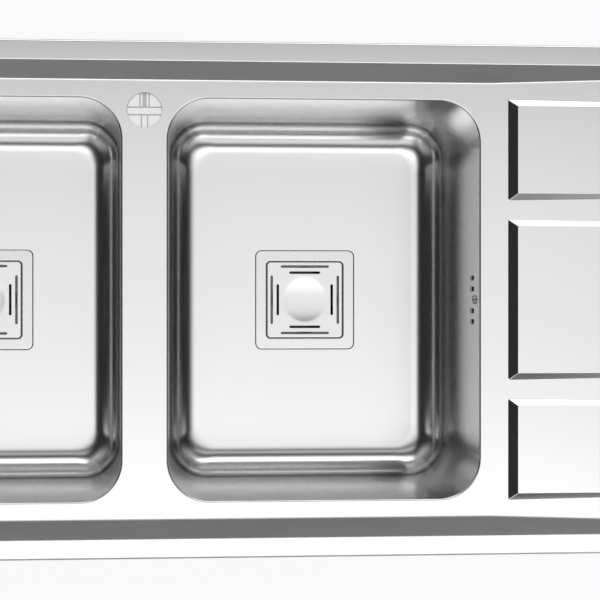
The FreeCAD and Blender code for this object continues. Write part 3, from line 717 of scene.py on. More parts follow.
class Repeat:
    """Geometry node groups that repeat a seed, each ending in real copies with their finish."""

    @staticmethod
    def group(name: str, kinds: dict[str, str], spread: Callable[..., Value]) -> bpy.types.NodeTree:
        """Builds a group once.

        Args:
            name: The group's name.
            kinds: Socket type of each named input after the seed.
            spread: Makes the copies, as instances, from the recipe, the seed and the inputs.

        Returns:
            The group.
        """
        found = bpy.data.node_groups.get(name)
        if found:
            return found
        made = bpy.data.node_groups.new(name, "GeometryNodeTree")
        for label, kind in {"Seed": "NodeSocketGeometry", **kinds, "Finish": "NodeSocketMaterial"}.items():
            made.interface.new_socket(label, in_out="INPUT", socket_type=kind)
        made.interface.new_socket("Copies", in_out="OUTPUT", socket_type="NodeSocketGeometry")
        recipe = Recipe(made)
        given = [Value(recipe, out) for out in recipe.node("NodeGroupInput").socket.node.outputs]
        copies = spread(recipe, *given[:len(kinds) + 1])
        real = recipe.node("GeometryNodeRealizeInstances", None, copies)
        joined = recipe.node("GeometryNodeMergeByDistance", None, real, Distance=TINY / 10)
        dressed = recipe.node("GeometryNodeSetMaterial", None, joined, Material=given[len(kinds) + 1])
        recipe.node("NodeGroupOutput", None, dressed)
        return made

    @staticmethod
    def turned(recipe: Recipe, seed: Value, count: Value) -> Value:
        """Copies of the seed, evenly turned round the Z axis.

        Args:
            recipe: The group's tree.
            seed: The geometry to repeat.
            count: Number of copies.

        Returns:
            The copies, as instances.
        """
        one = recipe.node("GeometryNodeGeometryToInstance", None, seed)
        many = recipe.node("GeometryNodeDuplicateElements", {"domain": "INSTANCE"}, one, Amount=count)
        index = Value(recipe, many.socket.node.outputs["Duplicate Index"])
        angles = recipe.node("ShaderNodeCombineXYZ", None, Z=index * (2 * math.pi / count))
        turns = recipe.node("FunctionNodeEulerToRotation", None, angles)
        return recipe.node("GeometryNodeRotateInstances", None, many, Rotation=turns)

    @staticmethod
    def placed(recipe: Recipe, seed: Value, piece: Value) -> Value:
        """A copy of the piece at each point of the seed."""
        shape = recipe.node("GeometryNodeObjectInfo", None, piece, output="Geometry")
        return recipe.node("GeometryNodeInstanceOnPoints", None, seed, Instance=shape)

    @staticmethod
    def grow(mesh: bpy.types.Mesh, group: bpy.types.NodeTree, **values: object) -> bpy.types.Mesh:
        """Runs a group on a seed mesh.

        Args:
            mesh: The seed.
            group: The node group.
            values: Its inputs by name.

        Returns:
            The copies as one mesh.
        """
        holder = bpy.data.objects.new(group.name, mesh)
        bpy.context.scene.collection.objects.link(holder)
        nodes = holder.modifiers.new(group.name, "NODES")
        nodes.node_group = group
        for item in group.interface.items_tree:
            if item.name in values and item.in_out == "INPUT":
                nodes[item.identifier] = values[item.name]
        make_plain(holder)
        grown = holder.data
        bpy.data.objects.remove(holder)
        return grown

    @classmethod
    def around(cls, seed: Surface, count: int, finish: Finish) -> bpy.types.Mesh:
        """A wedge repeated until it closes the ring."""
        group = cls.group("repeat_around", {"Count": "NodeSocketInt"}, cls.turned)
        return cls.grow(seed.hand_over(), group, Count=count, Finish=finish.material())

    @classmethod
    def at(cls, seed: Surface, places: Sequence[Sequence[float]], finish: Finish) -> bpy.types.Mesh:
        """A piece repeated at each place.

        Args:
            seed: The piece, which is used up.
            places: Where the copies go.
            finish: The copies' surface.

        Returns:
            The copies as one mesh.
        """
        group = cls.group("repeat_at_places", {"Piece": "NodeSocketObject"}, cls.placed)
        piece = bpy.data.objects.new("seed_piece", seed.hand_over())
        bpy.context.scene.collection.objects.link(piece)
        points = bpy.data.meshes.new("places")
        points.from_pydata([tuple(place) for place in places], [], [])
        grown = cls.grow(points, group, Piece=piece, Finish=finish.material())
        bpy.data.objects.remove(piece)
        return grown


def settle(piece: bpy.types.Object, body: str, *nodes: str) -> bpy.types.Object:
    """Rides a piece on its body, in place of the CAD nodes that it stands for, and reports it.

    Args:
        piece: The piece.
        body: The body that carries it.
        nodes: The CAD nodes.

    Returns:
        The piece.
    """
    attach(piece, body)
    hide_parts(*nodes)
    LOG.info("%s rides %s for %s: %d faces", piece.name, body, ", ".join(nodes), len(piece.data.polygons))
    return piece


# The sink

@dataclass
class Side:
    """One bowl's place, read from the frame."""

    prefix: str
    outward: int  # 1 where the overflow faces +X
    corner: float = 42.0 * MM  # of the bowl's outline at the deck
    corner_fall: float = 0.5  # keeps the corners wide towards the floor
    lip: float = 1.6 * MM  # rounding from the deck into the bowl
    stations_x: tuple[float, ...] = (-0.6, -0.3, 0.0, 0.3, 0.6)  # of spots, as shares of the side
    stations_y: tuple[float, ...] = (-0.7, -0.35, 0.0, 0.35, 0.7)
    x: float = field(init=False)
    half_x: float = field(init=False)
    half_y: float = field(init=False)
    deck_z: float = field(init=False)
    floor_z: float = field(init=False)

    def __post_init__(self) -> None:
        """Reads the bowl's box."""
        low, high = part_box(f"{self.prefix}_bowl")
        self.x = (low.x + high.x) / 2
        self.half_x = (high.x - low.x) / 2 - SHEET
        self.half_y = (high.y - low.y) / 2 - SHEET
        self.deck_z = high.z
        self.floor_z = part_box(f"{self.prefix}_waste_flange")[1].z

    def name(self, piece: str) -> str:
        """The side's own name for a piece."""
        return f"{self.prefix}_{piece}"

    def outline(self) -> Outline:
        """The bowl's outline at the deck."""
        return Outline(self.x, 0, self.half_x, self.half_y, self.corner, self.corner_fall)

    def spots(self) -> list[Spot]:
        """Spots round the bowl, shared by the bowl and the hole in the deck."""
        return spots_round([self.half_x * share for share in self.stations_x],
                           [self.half_y * share for share in self.stations_y], steps=14)


@dataclass
class Deck:
    """Rim, border slope, deck and drainer with three raised pads, as one pressed sheet."""

    sides: Sequence[Side]
    rim_flat: float = 20.0 * MM
    rim_corner: float = 12.0 * MM
    rim_edge: float = 2.3 * MM
    rim_fold: float = 3.0 * MM
    border_run: float = 19.0 * MM
    border_corner: float = 50.0 * MM  # radius that the rim's inner edge and the border's foot are drawn from
    border_fold: float = 5.0 * MM
    fold_margin: float = 2.0 * MM
    drainer_setback: float = 11.0 * MM
    drainer_rise: float = 4.5 * MM
    pad_setback: float = 18.0 * MM
    pad_far_gap: float = 22.0 * MM
    pad_height: float = 5.5 * MM
    pad_near_run: float = 9.7 * MM
    pad_side_run: float = 7.4 * MM
    pad_far_run: float = 2.0 * MM
    pad_fold: float = 0.8 * MM
    pad_corner: float = 1.4 * MM
    pad_flare: float = 0.5  # how much wider a pad's corners are at its foot
    pad_stations: tuple[float, ...] = (-0.8, -0.4, 0.0, 0.4, 0.8)  # of spots, as shares of the side
    pad_spans: tuple[tuple[float, float], ...] = (
        (-205.0 * MM, -101.2 * MM), (-82.4 * MM, 82.4 * MM), (101.2 * MM, 205.0 * MM))
    tap_clearance: float = 0.1 * MM
    tap_edge: float = 0.3 * MM
    stations_x: tuple[float, ...] = (-500 * MM, -362 * MM, -180 * MM, 0.0, 320 * MM, 420 * MM, 500 * MM)
    stations_y: tuple[float, ...] = (-150 * MM, -50 * MM, 50 * MM, 150 * MM)  # of spots round the rim

    def __post_init__(self) -> None:
        """Reads the sheet's box."""
        self.low, self.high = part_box("sink_deck")
        self.top = self.high.z
        self.deck_z = self.low.z + SHEET
        self.outline = Outline(0, 0, self.high.x, self.high.y, self.rim_corner)
        self.inner = Outline(0, 0, self.high.x, self.high.y, self.border_corner)
        right = self.sides[-1]
        self.drainer_x = right.x + right.half_x + self.drainer_setback
        self.drainer_end = self.high.x - self.rim_flat - self.border_run
        self.slope = self.drainer_rise / (self.drainer_end - self.drainer_x)
        tap_low, tap_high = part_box("tap_hole_plug")
        self.tap = (tap_low + tap_high) / 2
        self.tap_radius = (tap_high.x - tap_low.x) / 2 + self.tap_clearance

    def height(self, x: float) -> float:
        """Height of the deck or drainer at x."""
        return self.deck_z + max(0.0, x - self.drainer_x) * self.slope

    def foot(self, spot: Spot) -> float:
        """Inset at which the border's slope meets the deck.

        Args:
            spot: Place round the border.

        Returns:
            The inset from the outer edge.
        """
        inset = self.rim_flat + self.border_run
        for _ in range(SEARCH_ROUNDS):
            x = self.inner.place(spot, inset)[0]
            share = (self.top - self.height(x)) / (self.top - self.deck_z)
            inset = self.rim_flat + self.border_run * share
        return inset

    def border_path(self, spot: Spot) -> list[Vector]:
        """The sheet's path at one spot, from the turned-down edge in to the deck.

        Args:
            spot: Place round the rim.

        Returns:
            The path's points.
        """
        foot = self.foot(spot)
        level = self.height(self.inner.place(spot, foot)[0])
        path = rounded(((0, 0), (0, self.top), (self.rim_flat, self.top), (foot, level),
                        (foot + self.fold_margin, level)),
                       radii=(self.rim_edge, self.rim_fold, self.border_fold), steps=(6, 4, 5))
        points = []
        for inset, z in path:
            outline = self.outline if inset < 2 * self.rim_edge else self.inner
            points.append(Vector((*outline.place(spot, inset), z)))
        points[-1].z = self.height(points[-1].x)
        return points

    def pad_outline(self, span: tuple[float, float], share: float) -> Outline:
        """A pad's outline at a share of its height.

        Args:
            span: Front and back of the pad's foot.
            share: 0 at its foot and 1 at its top.

        Returns:
            The outline.
        """
        low_x = self.drainer_x + self.pad_setback + self.pad_near_run * share
        high_x = self.drainer_end - self.pad_far_gap - self.pad_far_run * share
        low_y, high_y = span[0] + self.pad_side_run * share, span[1] - self.pad_side_run * share
        return Outline((low_x + high_x) / 2, (low_y + high_y) / 2, (high_x - low_x) / 2,
                       (high_y - low_y) / 2, self.pad_corner * (1 + (1 - share) * self.pad_flare))

    def pad_path(self, span: tuple[float, float], spot: Spot) -> list[Vector]:
        """The sheet's path up a pad's side, at one spot.

        Args:
            span: Front and back of the pad's foot.
            spot: Place round the pad.

        Returns:
            The path's points.
        """
        run = self.pad_side_run
        share = 0.0
        for _ in range(SEARCH_ROUNDS):
            x = self.pad_outline(span, share).place(spot)[0]
            share = (self.height(x) - self.deck_z) / self.pad_height
        level = self.deck_z + share * self.pad_height
        top = self.deck_z + self.pad_height
        margin = min(self.fold_margin, (1 - share) * run) / 2
        fold = min(self.pad_fold, margin)
        start = share * run
        path = rounded(((start - margin, level), (start, level), (run, top), (run + margin, top)),
                       radii=(fold, fold), steps=(3, 3))
        points = []
        for distance, z in path:
            x, y = self.pad_outline(span, distance / run).place(spot)
            points.append(Vector((x, y, z)))
        points[0].z = self.height(points[0].x)
        return points

    def build(self) -> bpy.types.Object:
        """Makes the sheet.

        Returns:
            The piece that stands for sink_deck.
        """
        surface = Surface()
        spots = spots_round([self.drainer_x, *self.stations_x], self.stations_y, steps=12)
        paths = [self.border_path(spot) for spot in spots]
        rings = [surface.ring(row) for row in zip(*paths)]
        surface.band(rings)
        foot = rings[-1]
        back, front = (i for i, spot in enumerate(spots) if spot.along == self.drainer_x and not spot.side_x)
        wide, narrow = self.tap_radius + self.tap_edge, self.tap_radius
        tap_hole = surface.ring(circle(self.tap.x, self.tap.y, self.deck_z, wide, count=64))
        tap_edge = surface.ring(circle(self.tap.x, self.tap.y, self.deck_z - self.tap_edge, narrow, count=64))
        surface.band((tap_hole, tap_edge))
        holes = [tap_hole]
        for side in self.sides:
            holes.append(surface.ring(side.outline().ring(side.spots(), -side.lip, self.deck_z)))
        surface.fill(foot[back:front + 1], *holes)
        pads = []
        for span in self.pad_spans:
            middle = self.pad_outline(span, 0.5)
            along_x = [share * middle.half_x for share in self.pad_stations]
            pad_spots = spots_round(along_x, [0.0], steps=4)
            pad_paths = [self.pad_path(span, spot) for spot in pad_spots]
            pad_rings = [surface.ring(row) for row in zip(*pad_paths)]
            surface.band(pad_rings)
            surface.fill(pad_rings[-1])
            pads.append(pad_rings[0])
        surface.fill(foot[front:] + foot[:back + 1], *pads)

        def on_crease(mesh: bpy.types.Mesh, edge: bpy.types.MeshEdge) -> bool:
            """Is this edge part of the line where the drainer starts?"""
            return all(abs(mesh.vertices[v].co.x - self.drainer_x) < TINY for v in edge.vertices)

        piece = surface.finish("sink_deck_sheet", SHEET_STEEL, SHEET, crease=on_crease)
        return settle(piece, "root", "sink_deck")


@dataclass
class Bowl:
    """Deep drawn bowl with leaning walls, a square recess for the waste and the overflow's slots."""

    side: Side
    draft: float = 6.0 * MM
    lip_steps: int = 5
    floor_radius: float = 32.0 * MM
    recess_half: float = 56.5 * MM
    recess_corner: float = 7.0 * MM
    recess_depth: float = 2.0 * MM
    recess_edge: float = 0.5 * MM
    recess_flat: float = 45.0 * MM  # half of the part of a side that holds spots
    hole_inset: float = 6.5 * MM
    slot_pitch: float = 11.4 * MM
    slot_width: float = 4.2 * MM  # clear, inside the rolled edge
    slot_height: float = 15.0 * MM
    slot_roll: float = 1.2 * MM  # rounding from the wall into a slot
    slot_collar: float = 3.0 * MM
    cell_margin: float = 4.0 * MM
    slots_below: float = 34.0 * MM
    screw_below: float = 23.0 * MM
    screw_hole: float = 2.75 * MM
    screw_points: int = 16

    def wall_x(self, z: float) -> float:
        """X of the outer wall's inner face at a height."""
        lean = self.draft * (self.side.deck_z - z) / (self.side.deck_z - self.side.floor_z)
        return self.side.x + self.side.outward * (self.side.half_x - lean)

    def on_wall(self, y: float, z: float, depth: float = 0.0) -> Vector:
        """Point in the outer wall, or behind it by depth."""
        return Vector((self.wall_x(z) + self.side.outward * depth, y, z))

    def slot_cell(self) -> Surface:
        """Piece of wall round one overflow slot, its edge rolled outward into a collar.

        Returns:
            The piece, at the middle of the row of slots.
        """
        surface = Surface()
        middle = self.side.deck_z - self.slots_below
        half_y, half_z = self.slot_pitch / 2, self.slot_height / 2 + self.cell_margin
        corners = ((-half_y, -half_z), (half_y, -half_z), (half_y, half_z), (-half_y, half_z))
        frame_loop = surface.ring(self.on_wall(y, middle + z) for y, z in corners)
        roll = rounded(((2 * self.slot_roll, 0), (0, 0), (0, self.slot_collar)),
                       radii=(self.slot_roll,), steps=(4,))
        rings = []
        for growth, depth in roll[1:]:
            shape = stadium(self.slot_height + 2 * growth, self.slot_width + 2 * growth, steps=6)
            rings.append(surface.ring(self.on_wall(across, middle + along, depth) for along, across in shape))
        surface.fill(frame_loop, rings[0], normal=(-self.side.outward, 0, 0))
        surface.band(rings)
        return surface

    def overflow_panel(self, surface: Surface, outer: Sequence[bmesh.types.BMVert]) -> None:
        """Fills the flat part of the outer wall, with the slots and the screw's hole.

        Args:
            surface: The bowl that is being made.
            outer: Vertices round the flat part.
        """
        middle = self.side.deck_z - self.slots_below
        half_z = self.slot_height / 2 + self.cell_margin
        loops = []
        for turn in (-1, 1):
            steps = [turn * self.slot_pitch * share for share in (0.5, 1.5, 2.5)]
            loops.append(surface.ring([self.on_wall(y, middle - half_z) for y in steps]
                                      + [self.on_wall(y, middle + half_z) for y in reversed(steps)]))
        screw_z = self.side.deck_z - self.screw_below
        loops.append(surface.ring(
            self.on_wall(self.screw_hole * math.cos(t), screw_z + self.screw_hole * math.sin(t))
            for t in even_turns(self.screw_points)))
        surface.fill(outer, *loops, normal=(-self.side.outward, 0, 0))
        places = [(0, turn * self.slot_pitch, 0) for turn in (-2, -1, 1, 2)]
        surface.take(Repeat.at(self.slot_cell(), places, SHEET_STEEL))

    def build(self) -> bpy.types.Object:
        """Makes the bowl.

        Returns:
            The piece that stands for the side's bowl.
        """
        side = self.side
        surface = Surface()
        spots = side.spots()
        path = rounded(((-side.lip, side.deck_z), (0, side.deck_z), (self.draft, side.floor_z),
                        (2 * self.floor_radius, side.floor_z)),
                       radii=(side.lip, self.floor_radius), steps=(self.lip_steps, 14))
        rings = [surface.ring(side.outline().ring(spots, inset, z)) for inset, z in path[1:-1]]
        wall = self.lip_steps  # the row of faces that follows the lip's rounding
        panel = [i for i, spot in enumerate(spots) if spot.side_x == side.outward and not spot.side_y]
        columns = [i % len(spots) for i in range(panel[0] - 1, panel[-1] + 2)]
        surface.band(rings, gap=lambda row, column: row == wall and column in columns[:-1])
        upper, lower = rings[wall], rings[wall + 1]
        self.overflow_panel(surface, [upper[i] for i in columns] + [lower[i] for i in reversed(columns)])
        recess = Outline(side.x, 0, self.recess_half, self.recess_half, self.recess_corner)
        step = rounded(((-MM, side.floor_z), (0, side.floor_z), (0, side.floor_z - self.recess_depth),
                        (self.hole_inset, side.floor_z - self.recess_depth)),
                       radii=(self.recess_edge, self.recess_edge), steps=(3, 3))
        edge = [surface.ring(recess.ring(self.recess_spots(), inset, z)) for inset, z in step]
        surface.band([rings[-1], *edge])
        piece = surface.finish(side.name("bowl_shell"), SHEET_STEEL, SHEET)
        return settle(piece, "root", side.name("bowl"))

    def recess_spots(self) -> list[Spot]:
        """Spots round the small square recess, in line with those round the bowl.

        Returns:
            The spots in order.
        """
        found = []
        for spot in self.side.spots():
            reach = self.side.half_x if spot.side_y and not spot.side_x else self.side.half_y
            found.append(Spot(spot.side_x, spot.side_y, spot.along / reach * self.recess_flat, spot.angle))
        return found


@dataclass
class Waste:
    """Square waste of one bowl: pressed flange with its cup, and the strainer lid."""

    side: Side
    half: float = 56.0 * MM
    corner: float = 6.5 * MM
    edge: float = 0.4 * MM
    plate: float = 1.2 * MM
    sheet: float = 1.08 * MM
    spot_pitch: float = 9.0 * MM  # between the spots on a side
    bend_margin: float = 2.0 * MM  # of flat beyond a bend
    opening_half: float = 44.1 * MM
    opening_corner: float = 4.85 * MM
    opening_edge: float = 0.9 * MM
    seat_depth: float = 3.2 * MM
    seat_run: float = 1.2 * MM
    seat_fillet: float = 0.4 * MM
    cup_radius: float = 39.5 * MM
    cup_edge: float = 1.2 * MM
    cup_floor_radius: float = 4.0 * MM
    cup_depth: float = 46.8 * MM
    cup_floor_run: float = 6.0 * MM  # of floor that belongs to the wall's path
    cup_border: float = 7.0 * MM  # from the wall to the part of the floor with holes
    cup_steps: int = 12  # chords in the outer arc of the floor round one hole
    cup_holes: int = 8
    cup_hole_radius: float = 7.0 * MM
    cup_hole_circle: float = 24.0 * MM
    screw_hole: float = 3.3 * MM
    lid_half: float = 43.25 * MM
    lid_corner: float = 4.0 * MM
    lid_edge: float = 0.9 * MM
    lid_sheet: float = 1.0 * MM
    lid_run: float = 1.6 * MM
    lid_station: float = 24.0 * MM
    lid_corner_steps: int = 4  # chords in half of a corner's arc
    long_slot: tuple[float, float] = (55.6 * MM, 38.0 * MM)  # length, and place from the middle
    short_slot: tuple[float, float] = (35.6 * MM, 31.0 * MM)
    slot_width: float = 2.9 * MM
    dish_radius: float = 23.6 * MM
    dish_depth: float = 1.5 * MM
    dish_blend: float = 3.0 * MM
    dish_steps: int = 12
    dish_straight: float = 0.25  # share of the radius in which the dish starts to fall in a straight line

    def spots(self) -> list[Spot]:
        """Spots round the flange and the lid."""
        along = [self.spot_pitch * step for step in range(-4, 5)]
        return spots_round(along, along, steps=8)

    def build_flange(self) -> bpy.types.Object:
        """Makes the flange with its seat and cup.

        Returns:
            The piece that stands for the side's waste flange.
        """
        surface = Surface()
        side, spots = self.side, self.spots()
        top = side.floor_z
        outer = Outline(side.x, 0, self.half, self.half, self.corner)
        opening = Outline(side.x, 0, self.opening_half, self.opening_half, self.opening_corner)
        rim = rounded(((0, top - self.plate), (0, top), (self.bend_margin, top)),
                      radii=(self.edge,), steps=(3,))
        rings = [surface.ring(outer.ring(spots, inset, z)) for inset, z in rim]
        seat = top - self.seat_depth
        drop = rounded(((-self.bend_margin, top), (0, top), (0, seat), (self.seat_run, seat)),
                       radii=(self.opening_edge, self.seat_fillet), steps=(5, 2))
        rings += [surface.ring(opening.ring(spots, inset, z)) for inset, z in drop]
        floor = top - self.cup_depth
        cup = rounded(((self.cup_radius + self.bend_margin, seat), (self.cup_radius, seat),
                       (self.cup_radius, floor), (self.cup_radius - self.cup_floor_run, floor)),
                      radii=(self.cup_edge, self.cup_floor_radius), steps=(4, 6))
        rings += [surface.ring(opening.round_ring(spots, radius, z)) for radius, z in cup]
        surface.band(rings)
        reach = self.cup_radius - self.cup_border
        border = circle(side.x, 0, floor, reach, self.cup_steps * self.cup_holes)
        surface.fill(rings[-1], surface.ring(border))
        hole = circle(self.cup_hole_circle, 0, floor, self.cup_hole_radius, count=24)
        sector = wedge(self.screw_hole, reach, self.cup_holes, self.cup_steps, floor, [hole])
        # The waste steel paints shade into the cup below the seat
        surface.take(Repeat.around(sector, self.cup_holes, WASTE_STEEL), Matrix.Translation((side.x, 0, 0)))
        piece = surface.finish(side.name("waste_flange_pressing"), WASTE_STEEL, self.sheet)
        return settle(piece, "root", side.name("waste_flange"))

    def dish(self) -> list[tuple[float, float]]:
        """Radius and height of the dish's profile, from its soft edge in to its middle.

        Returns:
            The profile's points, with heights counted from the lid's top.
        """
        outer = self.dish_radius + self.dish_blend
        profile = []
        for step in range(self.dish_steps + 1):
            share = step / self.dish_steps
            fall = 1 - (1 - share) ** 2
            if share <= self.dish_straight:
                fall = share * (2 - self.dish_straight)
            profile.append((outer * (1 - share), -self.dish_depth * fall))
        return profile

    def lid_quarter(self) -> Surface:
        """The quarter of the lid that faces right, with a long and a short slot.

        Returns:
            The quarter, about the Z axis.
        """
        surface = Surface()
        top = self.side.floor_z
        outline = Outline(0, 0, self.lid_half, self.lid_half, self.lid_corner)
        turns = [math.pi / 4 * step / self.lid_corner_steps for step in range(self.lid_corner_steps + 1)]
        spots = [Spot(1, -1, angle=-turn) for turn in reversed(turns)]
        spots += [Spot(1, 0, y) for y in (-self.lid_station, 0.0, self.lid_station)]
        spots += [Spot(1, 1, angle=turn) for turn in turns]
        rim = rounded(((0, top - self.seat_depth), (0, top), (self.lid_run, top)),
                      radii=(self.lid_edge,), steps=(5,))
        rings = [surface.ring(outline.ring(spots, inset, z)) for inset, z in rim]
        surface.band(rings, closed=False)
        arcs = []
        for radius, fall in self.dish()[:-1]:
            arcs.append(surface.ring(polar(radius, turn, top + fall) for turn in fan(math.pi / 4, 16)))
        surface.band(arcs, closed=False)
        middle = surface.mesh.verts.new((0, 0, top - self.dish_depth))
        for first, second in zip(arcs[-1], arcs[-1][1:]):
            surface.mesh.faces.new((first, second, middle))
        slots = []
        for length, place in (self.long_slot, self.short_slot):
            shape = stadium(length, self.slot_width, steps=5)
            slots.append(surface.ring(Vector((place + across, along, top)) for along, across in shape))
        surface.fill(rings[-1] + arcs[0][::-1], *slots)
        return surface

    def build_lid(self) -> bpy.types.Object:
        """Makes the strainer lid with its eight slots and shallow dish.

        Returns:
            The piece that stands for the side's strainer lid.
        """
        quarters = Repeat.around(self.lid_quarter(), 4, LID_STEEL)
        surface = Surface().take(quarters, Matrix.Translation((self.side.x, 0, 0)))
        piece = surface.finish(self.side.name("strainer_lid_plate"), LID_STEEL, self.lid_sheet)
        return settle(piece, f"{self.side.prefix}_lid", self.side.name("strainer_lid"))


@dataclass
class Basket:
    """Lift-out basket of one waste: rim, wall slots, floor holes, and its knob."""

    side: Side
    sheet: float = 0.8 * MM
    radius: float = 38.0 * MM
    slots: int = 16
    slot_width: float = 3.0 * MM
    slot_height: float = 20.0 * MM
    slot_low: float = 8.0 * MM
    floor_radius: float = 3.0 * MM
    rim_fold: float = 1.0 * MM
    wall_steps: int = 6  # chords in the arcs of the wall round one slot
    floor_sectors: int = 6
    floor_steps: int = 16  # chords in the outer arc of one sector of the floor
    floor_middle: float = 0.5 * MM  # radius of the disc between the sectors
    hole: float = 2.6 * MM
    inner_circle: float = 13.0 * MM
    outer_circle: float = 27.0 * MM
    neck: float = 3.5 * MM
    neck_height: float = 4.0 * MM
    knob_radii: tuple[float, ...] = (0.2 * MM, 0.6 * MM, 0.6 * MM, 1.5 * MM)

    def wall_wedge(self, low: float, high: float, rim: float) -> Surface:
        """Wedge of the basket's wall and rim with one slot.

        Args:
            low: Height of the floor.
            high: Height of the rim.
            rim: Outer radius of the rim.

        Returns:
            The wedge, its middle on the X axis.
        """
        surface = Surface()
        turns = fan(math.pi / self.slots, self.wall_steps)
        inner = self.radius - self.sheet
        path = rounded(((inner - 2 * self.floor_radius, low), (inner, low), (inner, high), (rim, high)),
                       radii=(self.floor_radius, self.rim_fold), steps=(6, 4))
        rows = [surface.ring(polar(radius, turn, z) for turn in turns) for radius, z in path]
        wall = next(i for i, (row, after) in enumerate(zip(path, path[1:]))
                    if after[1] - row[1] > self.slot_height)
        surface.band(rows, closed=False, gap=lambda row, column: row == wall)
        middle = low - self.sheet + self.slot_low + self.slot_height / 2
        slot = surface.ring(Vector((math.sqrt(inner ** 2 - across ** 2), across, middle + along))
                            for along, across in stadium(self.slot_height, self.slot_width, steps=4))
        surface.fill(rows[wall] + rows[wall + 1][::-1], slot, normal=(-1, 0, 0))
        return surface

    def build(self) -> bpy.types.Object:
        """Makes the basket.

        Returns:
            The piece that stands for the side's basket.
        """
        box_low, box_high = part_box(self.side.name("basket"))
        low, high = box_low.z + self.sheet, box_high.z
        rim = (box_high.x - box_low.x) / 2
        holes = [circle(self.inner_circle, 0, low, self.hole, count=16)]
        aside = math.pi / (2 * self.floor_sectors)
        for turn in (-aside, aside):
            holes.append(circle(self.outer_circle * math.cos(turn), self.outer_circle * math.sin(turn), low,
                                self.hole, count=16))
        reach = self.radius - self.sheet - 2 * self.floor_radius
        sector = wedge(self.floor_middle, reach, self.floor_sectors, self.floor_steps, low, holes)
        surface = Surface()
        middle = circle(0, 0, low, self.floor_middle, self.floor_steps * self.floor_sectors)
        surface.fill(surface.ring(middle))
        # The basket's dark grey is painted shade from under the lid
        surface.take(Repeat.around(sector, self.floor_sectors, BASKET_SHADE_STEEL))
        surface.take(Repeat.around(self.wall_wedge(low, high, rim), self.slots, BASKET_SHADE_STEEL))
        piece = surface.finish(self.side.name("basket_pressing"), BASKET_SHADE_STEEL, self.sheet,
                               turn=Matrix.Translation((self.side.x, 0, 0)))
        return settle(piece, self.side.name("basket"), self.side.name("basket"))

    def build_knob(self) -> bpy.types.Object:
        """Makes the knob on the basket's floor.

        Returns:
            The piece that stands for the side's basket knob.
        """
        low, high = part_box(self.side.name("basket_knob"))
        radius = (high.x - low.x) / 2
        path = rounded(((0, low.z), (self.neck, low.z), (self.neck, low.z + self.neck_height),
                        (radius, low.z + self.neck_height), (radius, high.z), (0, high.z)),
                       radii=self.knob_radii, steps=(1, 3, 3, 6))
        surface = Surface()
        surface.lathe(path, count=40, x=self.side.x)
        piece = surface.finish(self.side.name("basket_grip"), WASTE_PLASTIC)
        return settle(piece, self.side.name("basket"), self.side.name("basket_knob"))


